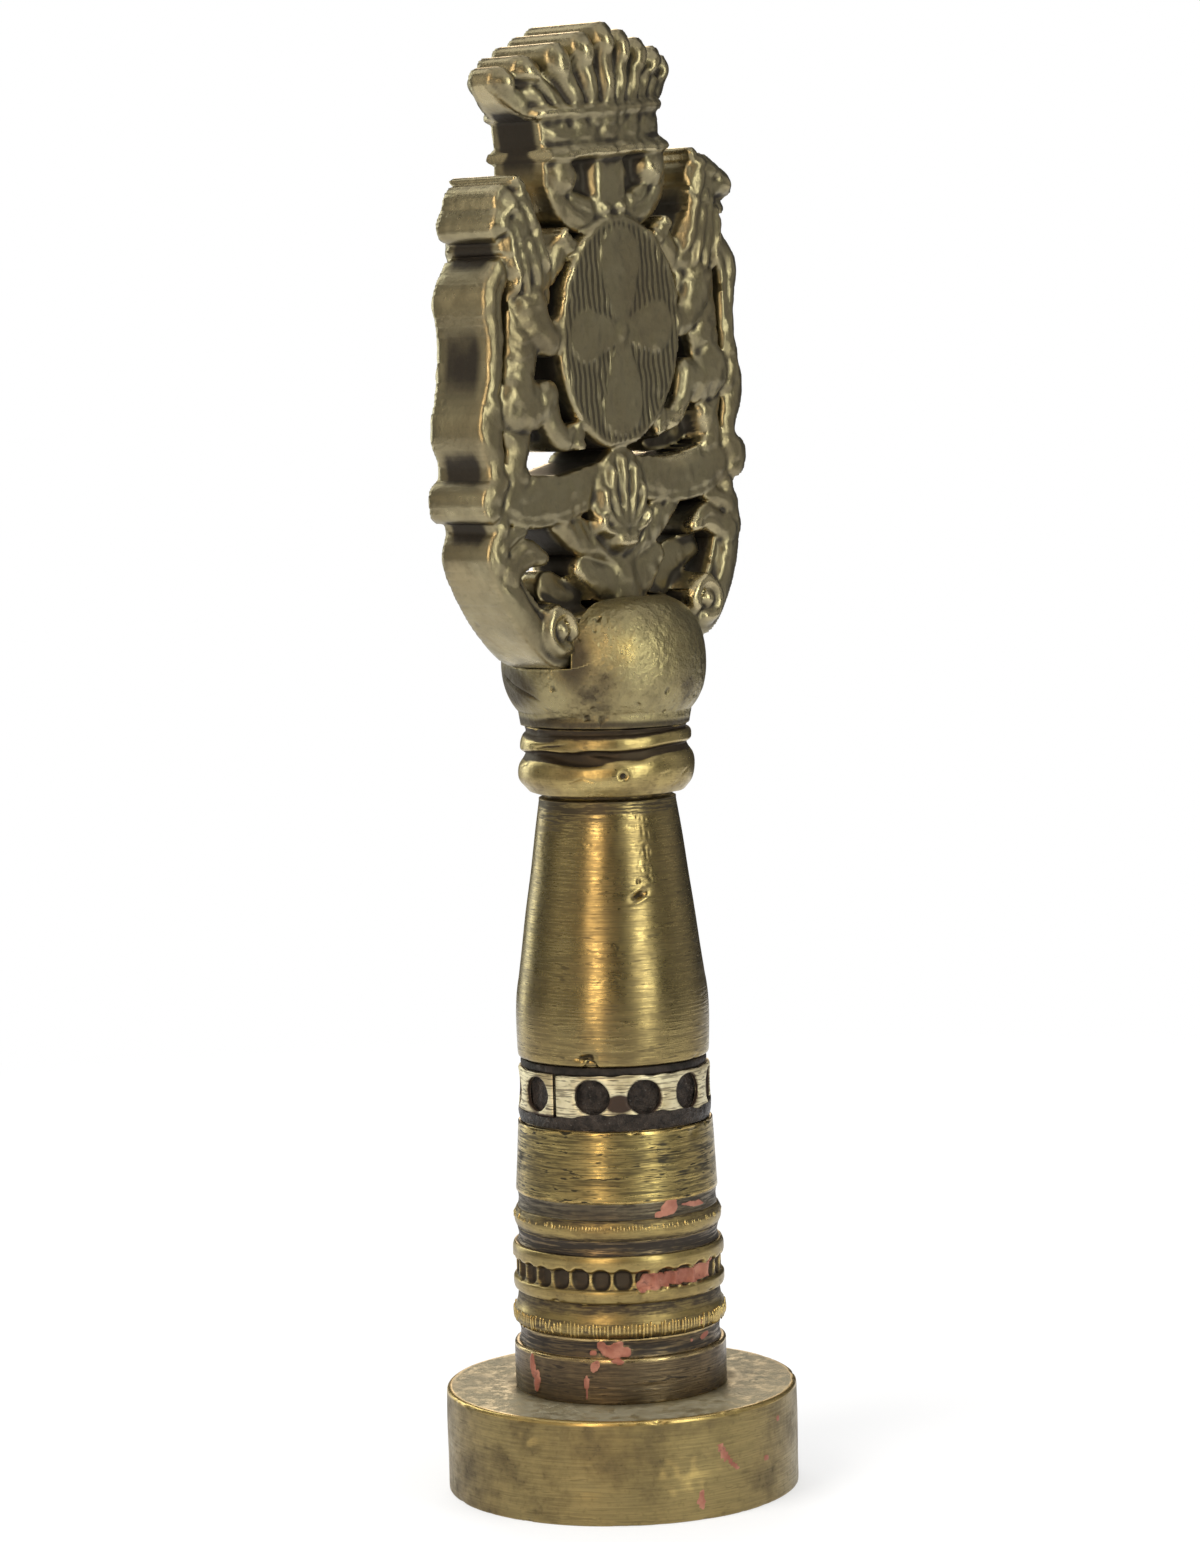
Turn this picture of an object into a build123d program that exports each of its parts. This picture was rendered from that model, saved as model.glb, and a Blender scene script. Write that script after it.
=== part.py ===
"""Wax seal stamp: an engraved disc, turned rings stacked on a threaded stud, and a
screw-on handle that carries a slotted knob and a cast openwork finial.

Millimetres, +Z up. The origin is the middle of the engraved face.
"""

import os
from math import hypot, sqrt

from build123d import *

# Fits between pieces
BORE_PLAY = 0.05  # radial, ring on stud, tenon in bore, pin in hole
THREAD_PLAY = 0.12  # radial, between crest and wall
SLOT_PLAY = 0.06  # each side of the finial's tongue in the knob

# Seal die
DIE_RADIUS = 12.0
DIE_HEIGHT = 7.0
DIE_EDGE = 0.25
ENGRAVING_DEPTH = 0.5
PETAL_COUNT = 8
PETAL_START = 1.9  # from the axis
PETAL_LENGTH = 5.4
PETAL_WIDTH = 2.2
BORDER_PIT_COUNT = 28
BORDER_PIT_RADIUS = 0.55
BORDER_INSET = 1.8  # pit centres from the rim

# Tie stud
STUD_RADIUS = 3.5
STUD_IN_DIE = 4.4
STUD_TIP_CHAMFER = 0.5
THREAD_PITCH = 1.25
THREAD_DEPTH = 0.6
THREAD_TURNS = 7
THREAD_RUNOUT = 1.0  # plain core below the first turn
THREAD_SINK = 0.1  # how far a ridge is rooted in its core

# Ring stack, from the die up
COLLAR_RADIUS = 7.2
COLLAR_HEIGHT = 3.1
COLLAR_EDGE = 0.12
LOWER_NECK_RADIUS = 6.9
LOWER_NECK_HEIGHT = 1.3
LOWER_BEAD_RADIUS = 7.2
LOWER_BEAD_HEIGHT = 2.4
LOWER_BEAD_WIDEST = 0.85  # above the ring's underside
SCALLOP_LIP_RADIUS = 7.2
SCALLOP_RECESS_RADIUS = 6.92
SCALLOP_HEIGHT = 3.2
SCALLOP_LOWER_LIP = 0.9
SCALLOP_UPPER_LIP = 1.1
SCALLOP_COUNT = 30
SCALLOP_PIT_RADIUS = 0.55
SCALLOP_PIT_DEPTH = 0.3
LIP_EDGE = 0.18
SPACER_RADIUS = 6.85
SPACER_HEIGHT = 1.0
UPPER_BEAD_RADIUS = 7.05
UPPER_BEAD_HEIGHT = 1.4
UPPER_BEAD_WIDEST = 0.75
UPPER_NECK_RADIUS = 6.78
UPPER_NECK_HEIGHT = 1.1
NECK_HOLLOW = 0.15  # depth of the hollow side of a neck ring
BEAD_RISE = 0.35  # how far a bead stands out of its own ends
BAND_RADIUS = 6.88
BAND_TOP_RADIUS = 6.62
BAND_HEIGHT = 4.8
BAND_EDGE = 0.15
JOINT_RADIUS = 6.4
JOINT_HEIGHT = 0.8
PIERCED_RADIUS = 6.52
PIERCED_WALL = 0.3
PIERCED_HEIGHT = 2.95
PIERCED_HOLE_RADIUS = 1.2
PIERCED_HOLE_COUNT = 11
PIERCED_HOLE_PITCH = 31.9  # degrees
PIERCED_SEAM_ANGLE = 181.0
PIERCED_SEAM_TO_HOLE = 24.0
PIERCED_SEAM_WIDTH = 0.16
WASHER_RADIUS = 6.35
WASHER_HEIGHT = 0.55

# Handle
HANDLE_HEIGHT = 17.6
HANDLE_LIP_RADIUS = 6.48
HANDLE_LIP_ROUND = 0.3
HANDLE_BELLY_RADIUS = 6.56
HANDLE_BELLY_HEIGHT = 3.0  # above the underside
HANDLE_TOP_RADIUS = 4.65
HANDLE_TOP_SLOPE = 0.1  # how fast the side still narrows at the top
HANDLE_NECK_RADIUS = 4.35
HANDLE_NECK_HEIGHT = 0.4
HANDLE_BORE_SPARE = 1.4  # bore beyond the stud's tip
TENON_RADIUS = 2.0
TENON_IN_HANDLE = 4.6
TENON_END_GAP = 0.15

# Neck collar and its pin
NECK_HEIGHT = 4.5
NECK_FOOT_RADIUS = 5.2
NECK_BEAD_RADIUS = 6.0
NECK_GROOVE_RADIUS = 5.6
NECK_BEAD_HEIGHT = 3.1
NECK_UPPER_BEAD_RADIUS = 5.78
NECK_TOP_RADIUS = 5.5
PIN_RADIUS = 0.4
PIN_ANGLE = 230.4
PIN_HEIGHT = 1.5  # above the collar's underside
PIN_SINK = 0.12  # its end lies this far inside the bead
PIN_PAST_TENON = 1.2

# Knob
KNOB_HEIGHT = 8.6
KNOB_RADIUS = 6.93
KNOB_CORNER = 3.3
SLOT_DEPTH = 4.7

# Finial
FINIAL_LEAN = 5.0  # degrees to the left, in its own plane
FINIAL_OFFSET = 1.0  # sideways place of the ornament on its tongue
TONGUE_WIDTH = 11.0
TONGUE_HEIGHT = 4.1
TONGUE_THICKNESS = 5.0
SHIELD_WIDTH = 12.4
SHIELD_HEIGHT = 15.4
SHIELD_CENTRE = 22.4
PENDANT_WIDTH = 5.6
PENDANT_HEIGHT = 7.2
PENDANT_CENTRE = 11.2
CROWN_BAND_WIDTH = 12.0
CROWN_BAND_HEIGHT = 3.0
CROWN_BAND_BOTTOM = 34.2
CROWN_BULGE_RADIUS = 26.0  # of the crown's front, seen from above
TIER_WIDTH = 9.6  # sunk panel between crown and shield
TIER_HEIGHT = 4.2
TIER_BOTTOM = 30.6

# Half thicknesses of the finial's layers
CROWN_DEPTH = 3.5
SHIELD_DEPTH = 3.0
LIMB_DEPTH = 2.8
LION_DEPTH = 2.5
SCROLL_DEPTH = 2.4
RIBBON_DEPTH = 2.2
TIER_DEPTH = 1.6

# Strokes of the finial, as (across, up, half width) from the slot's floor. Those for
# one side are mirrored.
LION_STROKES = [
    [(8.4, 28.4, 1.9), (8.6, 25.8, 2.1), (9.1, 23.0, 1.75), (9.7, 20.6, 1.5), (9.9, 18.6, 1.8)],
    [(10.2, 17.8, 1.5), (9.9, 15.8, 1.1), (10.2, 14.0, 1.0)],
    [(10.2, 30.4, 1.0), (11.5, 29.7, 0.55)],
]
LIMB_STROKES = [
    [(9.8, 31.4, 1.8), (8.8, 29.6, 2.2), (8.3, 27.2, 2.0)],
    [(9.9, 31.8, 1.85), (11.0, 31.4, 1.45), (12.0, 31.1, 1.0)],
    [(8.4, 27.4, 1.4), (7.1, 26.7, 1.1), (6.0, 27.4, 0.85), (5.1, 28.5, 0.95)],
    [(8.8, 25.0, 1.5), (7.8, 23.2, 1.2), (6.7, 22.3, 0.95), (5.5, 23.2, 1.0)],
    [(10.0, 18.8, 1.9), (8.5, 18.3, 1.55), (7.3, 18.8, 1.15)],
    [(7.3, 18.8, 1.1), (6.8, 17.1, 0.85), (5.8, 16.0, 0.85), (4.5, 16.0, 0.9)],
]
RIBBON_STROKES = [
    [(2.0, 12.6, 1.35), (5.5, 12.0, 1.6), (9.0, 12.2, 1.75), (12.0, 13.0, 1.35)],
]
SCROLL_STROKES = [
    [(10.4, 18.4, 0.9), (11.7, 17.8, 0.75), (12.5, 18.7, 0.75)],
    [(12.3, 13.2, 0.95), (12.7, 15.8, 0.8), (12.2, 18.4, 0.85), (12.6, 20.9, 0.8)],
    [(12.6, 20.9, 0.8), (12.2, 23.3, 0.8), (12.4, 25.6, 0.9), (11.3, 27.2, 0.8)],
    [(12.1, 12.8, 1.2), (12.0, 11.2, 0.95), (11.9, 9.0, 1.2), (11.0, 6.3, 1.3)],
    [(11.0, 6.3, 1.3), (9.6, 4.0, 1.25), (7.8, 2.5, 1.05), (5.2, 2.1, 0.85)],
    [(7.7, 4.6, 0.85), (8.6, 4.2, 0.85)],
    [(11.4, 7.8, 0.9), (9.6, 8.9, 0.95), (8.1, 8.4, 0.6)],
    [(1.0, 8.2, 1.2), (3.6, 9.2, 1.2), (5.9, 10.6, 0.85)],
    [(1.6, 30.0, 1.4), (4.0, 30.9, 1.3), (5.0, 32.4, 1.1), (5.0, 34.6, 1.0)],
]
STEM_STROKE = [(0, 9.4, 1.7), (0, 6.4, 1.4), (0, 2.6, 2.4)]
TAB_STROKE = [(0, 29.6, 1.6), (0, 34.6, 1.1)]
CROWN_STROKES = [
    [(4.6, 36.0, 1.3), (6.3, 38.4, 1.4), (7.9, 40.1, 1.1)],
    [(2.5, 36.0, 1.4), (3.3, 39.2, 1.7), (4.2, 41.4, 1.2)],
    [(5.3, 38.6, 1.2), (5.9, 40.5, 0.8)],
    [(1.6, 39.0, 1.2), (2.0, 41.3, 0.8)],
]
CROWN_MIDDLE_STROKE = [(0, 36.0, 1.5), (0, 39.6, 1.7), (0, 42.2, 1.1)]

# Heights worked out from the stack
COLLAR_Z = DIE_HEIGHT
LOWER_NECK_Z = COLLAR_Z + COLLAR_HEIGHT
LOWER_BEAD_Z = LOWER_NECK_Z + LOWER_NECK_HEIGHT
SCALLOP_Z = LOWER_BEAD_Z + LOWER_BEAD_HEIGHT
SPACER_Z = SCALLOP_Z + SCALLOP_HEIGHT
UPPER_BEAD_Z = SPACER_Z + SPACER_HEIGHT
UPPER_NECK_Z = UPPER_BEAD_Z + UPPER_BEAD_HEIGHT
BAND_Z = UPPER_NECK_Z + UPPER_NECK_HEIGHT
JOINT_Z = BAND_Z + BAND_HEIGHT
PIERCED_Z = JOINT_Z + JOINT_HEIGHT
WASHER_Z = PIERCED_Z + PIERCED_HEIGHT
HANDLE_Z = WASHER_Z + WASHER_HEIGHT
HANDLE_TOP_Z = HANDLE_Z + HANDLE_HEIGHT
NECK_Z = HANDLE_TOP_Z + HANDLE_NECK_HEIGHT
KNOB_Z = NECK_Z + NECK_HEIGHT
SLOT_Z = KNOB_Z + KNOB_HEIGHT - SLOT_DEPTH

RING_BORE = STUD_RADIUS + BORE_PLAY
STUD_CORE = STUD_RADIUS - THREAD_DEPTH
THREAD_ROOT = 0.4 * THREAD_PITCH  # half width of the stud's ridge at its root
THREAD_CREST = 0.12 * THREAD_PITCH
THREAD_Z = WASHER_Z + THREAD_RUNOUT
THREAD_LENGTH = THREAD_TURNS * THREAD_PITCH
STUD_TOP_Z = THREAD_Z + THREAD_LENGTH + THREAD_ROOT
HANDLE_BORE = STUD_RADIUS + THREAD_PLAY
TENON_BORE = TENON_RADIUS + BORE_PLAY
TENON_Z = NECK_Z - TENON_IN_HANDLE


def at(radius, height):
    """Point on the half plane that turned outlines are drawn in."""
    return (radius, 0, height)


def turned(*edges):
    """Solid of revolution of a closed outline about the stamp's axis."""
    return revolve(make_face(Wire(edges)), Axis.Z)


def hollow_ring(radius, bottom, height):
    """Neck ring with a hollow side."""
    top = bottom + height
    return turned(
        Line(at(RING_BORE, bottom), at(radius, bottom)),
        ThreePointArc(
            at(radius, bottom), at(radius - NECK_HOLLOW, bottom + height / 2), at(radius, top)
        ),
        Line(at(radius, top), at(RING_BORE, top)),
        Line(at(RING_BORE, top), at(RING_BORE, bottom)),
    )


def beaded_ring(radius, bottom, height, widest):
    """Ring with a rounded bead that is widest at the given height above its underside."""
    top = bottom + height
    foot = radius - BEAD_RISE
    return turned(
        Line(at(RING_BORE, bottom), at(foot, bottom)),
        ThreePointArc(at(foot, bottom), at(radius, bottom + widest), at(foot, top)),
        Line(at(foot, top), at(RING_BORE, top)),
        Line(at(RING_BORE, top), at(RING_BORE, bottom)),
    )


def plain_ring(outer_bottom, outer_top, inner, bottom, height, edge=0.0):
    """Ring with a straight side and a chamfer on its upper edge."""
    top = bottom + height
    points = [at(inner, bottom), at(outer_bottom, bottom), at(outer_top, top - edge)]
    if edge:
        points.append(at(outer_top - edge, top))
    points.append(at(inner, top))
    return turned(*Polyline(points, close=True).edges())


def seal_die():
    """Disc with an engraved rosette and a ring of pits, and a blind hole for the stud."""
    disc = Pos(0, 0, DIE_HEIGHT / 2) * Cylinder(DIE_RADIUS, DIE_HEIGHT)
    rims = disc.edges().filter_by(GeomType.CIRCLE)
    disc = chamfer(rims, DIE_EDGE)
    petal = extrude(Ellipse(PETAL_LENGTH / 2, PETAL_WIDTH / 2), ENGRAVING_DEPTH)
    disc -= PolarLocations(PETAL_START + PETAL_LENGTH / 2, PETAL_COUNT) * petal
    pit = extrude(Circle(BORDER_PIT_RADIUS), ENGRAVING_DEPTH)
    disc -= PolarLocations(DIE_RADIUS - BORDER_INSET, BORDER_PIT_COUNT) * pit
    hole = Cylinder(RING_BORE, STUD_IN_DIE, align=(Align.CENTER, Align.CENTER, Align.MAX))
    return disc - Pos(0, 0, DIE_HEIGHT) * hole


def thread_ridge(root_radius, crest_radius, root_half, crest_half, start, length):
    """Helical ridge that grows out of a core or a bore wall, rooted a little in it."""
    sink = THREAD_SINK if crest_radius < root_radius else -THREAD_SINK
    points = [
        at(root_radius + sink, start - root_half),
        at(root_radius, start - root_half),
        at(crest_radius, start - crest_half),
        at(crest_radius, start + crest_half),
        at(root_radius, start + root_half),
        at(root_radius + sink, start + root_half),
    ]
    path = Pos(0, 0, start) * Helix(THREAD_PITCH, length, root_radius)
    return sweep(make_face(Polyline(points, close=True)), path=path, is_frenet=True)


def tie_stud():
    """Stud with a plain shank through the rings and a thread above them."""
    bottom = DIE_HEIGHT - STUD_IN_DIE
    tip = STUD_CORE - STUD_TIP_CHAMFER
    points = [
        at(0, bottom),
        at(STUD_RADIUS, bottom),
        at(STUD_RADIUS, WASHER_Z),
        at(STUD_CORE, WASHER_Z),
        at(STUD_CORE, STUD_TOP_Z),
        at(tip, STUD_TOP_Z + STUD_TIP_CHAMFER),
        at(0, STUD_TOP_Z + STUD_TIP_CHAMFER),
    ]
    core = turned(*Polyline(points, close=True).edges())
    ridge = thread_ridge(
        STUD_CORE, STUD_RADIUS, THREAD_ROOT, THREAD_CREST, THREAD_Z, THREAD_LENGTH
    )
    return core + ridge


def scalloped_ring():
    """Ring with two lips and a row of round pits in the recess between them."""
    lower = SCALLOP_Z + SCALLOP_LOWER_LIP
    upper = SCALLOP_Z + SCALLOP_HEIGHT - SCALLOP_UPPER_LIP
    top = SCALLOP_Z + SCALLOP_HEIGHT
    lip = SCALLOP_LIP_RADIUS
    points = [
        at(RING_BORE, SCALLOP_Z),
        at(lip - LIP_EDGE, SCALLOP_Z),
        at(lip, SCALLOP_Z + LIP_EDGE),
        at(lip, lower - LIP_EDGE),
        at(SCALLOP_RECESS_RADIUS, lower),
        at(SCALLOP_RECESS_RADIUS, upper),
        at(lip, upper + LIP_EDGE),
        at(lip, top - LIP_EDGE),
        at(lip - LIP_EDGE, top),
        at(RING_BORE, top),
    ]
    ring = turned(*Polyline(points, close=True).edges())
    pit = Rot(0, 90, 0) * Cylinder(SCALLOP_PIT_RADIUS, 2 * SCALLOP_PIT_DEPTH)
    row = PolarLocations(SCALLOP_RECESS_RADIUS, SCALLOP_COUNT) * pit
    return ring - Pos(0, 0, (lower + upper) / 2) * Compound(children=list(row))


def pierced_band():
    """Thin strip bent round the core, with a row of round holes and an open seam."""
    inner = PIERCED_RADIUS - PIERCED_WALL
    band = plain_ring(PIERCED_RADIUS, PIERCED_RADIUS, inner, PIERCED_Z, PIERCED_HEIGHT)
    middle = PIERCED_Z + PIERCED_HEIGHT / 2
    reach = 2 * PIERCED_RADIUS
    hole = Rot(0, 90, 0) * Cylinder(
        PIERCED_HOLE_RADIUS, reach, align=(Align.CENTER, Align.CENTER, Align.MIN)
    )
    for i in range(PIERCED_HOLE_COUNT):
        angle = PIERCED_SEAM_ANGLE + PIERCED_SEAM_TO_HOLE + i * PIERCED_HOLE_PITCH
        band -= Pos(0, 0, middle) * Rot(0, 0, angle) * hole
    seam = Box(
        reach, PIERCED_SEAM_WIDTH, 2 * PIERCED_HEIGHT, align=(Align.MIN, Align.CENTER, Align.CENTER)
    )
    return band - Pos(0, 0, middle) * Rot(0, 0, PIERCED_SEAM_ANGLE) * seam


def handle():
    """Tapered grip with a rounded lip, a tapped bore below and a tenon hole above."""
    belly_z = HANDLE_Z + HANDLE_BELLY_HEIGHT
    bore_top = STUD_TOP_Z + STUD_TIP_CHAMFER + HANDLE_BORE_SPARE
    lip_z = HANDLE_Z + HANDLE_LIP_ROUND
    lip_flat = HANDLE_LIP_RADIUS - HANDLE_LIP_ROUND
    bend = HANDLE_LIP_ROUND / sqrt(2)
    body = turned(
        Line(at(HANDLE_BORE, HANDLE_Z), at(lip_flat, HANDLE_Z)),
        ThreePointArc(
            at(lip_flat, HANDLE_Z), at(lip_flat + bend, lip_z - bend), at(HANDLE_LIP_RADIUS, lip_z)
        ),
        Spline(
            at(HANDLE_LIP_RADIUS, lip_z),
            at(HANDLE_BELLY_RADIUS, belly_z),
            at(HANDLE_TOP_RADIUS, HANDLE_TOP_Z),
            tangents=[(0, 0, 1), (-HANDLE_TOP_SLOPE, 0, 1)],
        ),
        Line(at(HANDLE_TOP_RADIUS, HANDLE_TOP_Z), at(HANDLE_NECK_RADIUS, HANDLE_TOP_Z)),
        Line(at(HANDLE_NECK_RADIUS, HANDLE_TOP_Z), at(HANDLE_NECK_RADIUS, NECK_Z)),
        Line(at(HANDLE_NECK_RADIUS, NECK_Z), at(TENON_BORE, NECK_Z)),
        Line(at(TENON_BORE, NECK_Z), at(TENON_BORE, TENON_Z)),
        Line(at(TENON_BORE, TENON_Z), at(0, TENON_Z)),
        Line(at(0, TENON_Z), at(0, bore_top)),
        Line(at(0, bore_top), at(HANDLE_BORE, bore_top)),
        Line(at(HANDLE_BORE, bore_top), at(HANDLE_BORE, HANDLE_Z)),
    )
    ridge = thread_ridge(
        HANDLE_BORE,
        STUD_CORE + 2 * THREAD_PLAY,
        THREAD_PITCH / 2 - THREAD_CREST - THREAD_PLAY,
        THREAD_PITCH / 2 - THREAD_ROOT,
        THREAD_Z + THREAD_PITCH / 2,
        THREAD_LENGTH - THREAD_PITCH,
    )
    return body + ridge


def neck_collar(pin_hole):
    """Collar with a wide bead, a groove and a narrow bead above it."""
    groove_z = NECK_Z + NECK_BEAD_HEIGHT
    top = NECK_Z + NECK_HEIGHT
    collar = turned(
        Line(at(TENON_BORE, NECK_Z), at(NECK_FOOT_RADIUS, NECK_Z)),
        ThreePointArc(
            at(NECK_FOOT_RADIUS, NECK_Z),
            at(NECK_BEAD_RADIUS, NECK_Z + NECK_BEAD_HEIGHT / 2),
            at(NECK_GROOVE_RADIUS, groove_z),
        ),
        ThreePointArc(
            at(NECK_GROOVE_RADIUS, groove_z),
            at(NECK_UPPER_BEAD_RADIUS, (groove_z + top) / 2),
            at(NECK_TOP_RADIUS, top),
        ),
        Line(at(NECK_TOP_RADIUS, top), at(TENON_BORE, top)),
        Line(at(TENON_BORE, top), at(TENON_BORE, NECK_Z)),
    )
    return collar - pin_hole


def cross_rod(radius, reach):
    """Rod across the neck collar, from inside the bead to past the tenon."""
    length = reach + TENON_RADIUS + PIN_PAST_TENON
    rod = Rot(0, 90, 0) * Cylinder(radius, length, align=(Align.CENTER, Align.CENTER, Align.MAX))
    return Pos(0, 0, NECK_Z + PIN_HEIGHT) * Rot(0, 0, PIN_ANGLE) * Pos(reach, 0, 0) * rod


def knob():
    """Bun with a flat top, slotted right across to take the finial's tongue."""
    top = KNOB_Z + KNOB_HEIGHT
    corner_z = top - KNOB_CORNER
    flat = KNOB_RADIUS - KNOB_CORNER
    bend = KNOB_CORNER / sqrt(2)
    body = turned(
        Line(at(0, KNOB_Z), at(NECK_TOP_RADIUS, KNOB_Z)),
        Spline(
            at(NECK_TOP_RADIUS, KNOB_Z),
            at(KNOB_RADIUS, corner_z),
            tangents=[(0.6, 0, 1), (0, 0, 1)],
        ),
        ThreePointArc(
            at(KNOB_RADIUS, corner_z),
            at(flat + bend, corner_z + bend),
            at(flat, top),
        ),
        Line(at(flat, top), at(0, top)),
        Line(at(0, top), at(0, KNOB_Z)),
    )
    slot = Box(
        3 * KNOB_RADIUS,
        TONGUE_THICKNESS + 2 * SLOT_PLAY,
        2 * SLOT_DEPTH,
        align=(Align.CENTER, Align.CENTER, Align.MIN),
    )
    body -= Pos(0, 0, SLOT_Z) * slot
    return body - Pos(0, 0, KNOB_Z) * Cylinder(TENON_BORE, 2 * KNOB_HEIGHT)


def brush(points, side=1):
    """Face of a stroke through points given as (across, up, half width)."""
    left, right = [], []
    for i, (x, y, half) in enumerate(points):
        before = points[max(i - 1, 0)]
        after = points[min(i + 1, len(points) - 1)]
        along_x, along_y = after[0] - before[0], after[1] - before[1]
        length = hypot(along_x, along_y)
        normal_x, normal_y = -along_y / length, along_x / length
        left.append((side * (x + half * normal_x), y + half * normal_y))
        right.append((side * (x - half * normal_x), y - half * normal_y))

    def cap(end, other, first, last):
        """Round end of the stroke, from one edge to the other."""
        x, y, half = points[end]
        back_x, back_y = points[other][0] - x, points[other][1] - y
        reach = half / hypot(back_x, back_y)
        return ThreePointArc(first, (side * (x - back_x * reach), y - back_y * reach), last)

    def edge(row):
        """Edge of the stroke: a curve, or a line where only two points are given."""
        return Spline(row) if len(row) > 2 else Line(row[0], row[1])

    outline = [
        edge(left),
        cap(-1, -2, left[-1], right[-1]),
        edge(right[::-1]),
        cap(0, 1, right[0], left[0]),
    ]
    return make_face(Wire(outline))


def both_sides(strokes):
    """Faces of strokes and of their mirror images."""
    return [brush(points, side) for points in strokes for side in (1, -1)]


def slab(faces, half_depth):
    """Solid of drawn faces, as thick in front of the finial's plane as behind it."""
    drawing = Sketch() + faces
    return Plane.XZ * extrude(drawing, half_depth, both=True)


def crown():
    """Crown whose leaves stand on a band, with a front that bulges as seen from above."""
    band = Pos(0, CROWN_BAND_BOTTOM + CROWN_BAND_HEIGHT / 2) * Rectangle(
        CROWN_BAND_WIDTH, CROWN_BAND_HEIGHT
    )
    leaves = both_sides(CROWN_STROKES)
    block = slab([band, brush(CROWN_MIDDLE_STROKE)] + leaves, CROWN_DEPTH)
    shift = CROWN_BULGE_RADIUS - CROWN_DEPTH
    reach = 4 * CROWN_BAND_BOTTOM
    for sign in (1, -1):
        block &= Pos(0, sign * shift, 0) * Cylinder(CROWN_BULGE_RADIUS, reach)
    return block


def finial(pin_hole):
    """Casting of crown, shield, two lions, ribbon and scrolls, with a tongue and a tenon."""
    shield = Pos(0, SHIELD_CENTRE) * Ellipse(SHIELD_WIDTH / 2, SHIELD_HEIGHT / 2)
    pendant = Pos(0, PENDANT_CENTRE) * Ellipse(PENDANT_WIDTH / 2, PENDANT_HEIGHT / 2)
    tier = Pos(0, TIER_BOTTOM + TIER_HEIGHT / 2) * Rectangle(TIER_WIDTH, TIER_HEIGHT)
    scrolls = both_sides(SCROLL_STROKES) + [brush(STEM_STROKE), brush(TAB_STROKE)]
    ornament = slab([shield, pendant], SHIELD_DEPTH)
    ornament += slab(both_sides(LIMB_STROKES), LIMB_DEPTH)
    ornament += slab(both_sides(LION_STROKES), LION_DEPTH)
    ornament += slab(scrolls, SCROLL_DEPTH)
    ornament += slab(both_sides(RIBBON_STROKES), RIBBON_DEPTH)
    ornament += slab([tier], TIER_DEPTH)
    ornament += crown()
    ornament = Pos(0, 0, SLOT_Z) * Rot(0, -FINIAL_LEAN, 0) * Pos(FINIAL_OFFSET, 0, 0) * ornament
    tongue = Box(
        TONGUE_WIDTH,
        TONGUE_THICKNESS,
        TONGUE_HEIGHT,
        align=(Align.CENTER, Align.CENTER, Align.MIN),
    )
    tenon_z = TENON_Z + TENON_END_GAP
    tenon_length = SLOT_Z + TONGUE_HEIGHT / 2 - tenon_z
    tenon = Cylinder(TENON_RADIUS, tenon_length, align=(Align.CENTER, Align.CENTER, Align.MIN))
    return ornament + Pos(0, 0, SLOT_Z) * tongue + Pos(0, 0, tenon_z) * tenon - pin_hole


def main():
    """Build every piece and write one file for each."""
    pin_reach = NECK_BEAD_RADIUS - PIN_SINK
    pin_hole = cross_rod(PIN_RADIUS + BORE_PLAY, 2 * NECK_BEAD_RADIUS)
    pieces = {
        "seal_die": seal_die(),
        "tie_stud": tie_stud(),
        "base_collar": plain_ring(
            COLLAR_RADIUS, COLLAR_RADIUS, RING_BORE, COLLAR_Z, COLLAR_HEIGHT, COLLAR_EDGE
        ),
        "lower_neck_ring": hollow_ring(LOWER_NECK_RADIUS, LOWER_NECK_Z, LOWER_NECK_HEIGHT),
        "lower_milled_ring": beaded_ring(
            LOWER_BEAD_RADIUS, LOWER_BEAD_Z, LOWER_BEAD_HEIGHT, LOWER_BEAD_WIDEST
        ),
        "scalloped_ring": scalloped_ring(),
        "spacer_ring": hollow_ring(SPACER_RADIUS, SPACER_Z, SPACER_HEIGHT),
        "upper_milled_ring": beaded_ring(
            UPPER_BEAD_RADIUS, UPPER_BEAD_Z, UPPER_BEAD_HEIGHT, UPPER_BEAD_WIDEST
        ),
        "upper_neck_ring": hollow_ring(UPPER_NECK_RADIUS, UPPER_NECK_Z, UPPER_NECK_HEIGHT),
        "plain_band": plain_ring(
            BAND_RADIUS, BAND_TOP_RADIUS, RING_BORE, BAND_Z, BAND_HEIGHT, BAND_EDGE
        ),
        "joint_ring": plain_ring(
            JOINT_RADIUS, JOINT_RADIUS, RING_BORE, JOINT_Z, JOINT_HEIGHT, BAND_EDGE
        ),
        "band_core": plain_ring(
            PIERCED_RADIUS - PIERCED_WALL - BORE_PLAY,
            PIERCED_RADIUS - PIERCED_WALL - BORE_PLAY,
            RING_BORE,
            PIERCED_Z,
            PIERCED_HEIGHT,
        ),
        "pierced_band": pierced_band(),
        "seat_washer": plain_ring(WASHER_RADIUS, WASHER_RADIUS, RING_BORE, WASHER_Z, WASHER_HEIGHT),
        "handle": handle(),
        "neck_collar": neck_collar(pin_hole),
        "neck_pin": cross_rod(PIN_RADIUS, pin_reach),
        "knob": knob(),
        "finial": finial(pin_hole),
    }
    os.makedirs("parts", exist_ok=True)
    for name, piece in pieces.items():
        export_step(piece, f"parts/{name}.step")


main()
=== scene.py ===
"""Dresses the wax seal stamp: aged turned brass, a pierced strip, wax traces and a cast openwork finial."""
import logging
import math
from dataclasses import dataclass, field
from enum import Enum
from typing import Callable, Iterable, Sequence

import bpy
import numpy as np
from mathutils import Matrix, Vector


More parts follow.
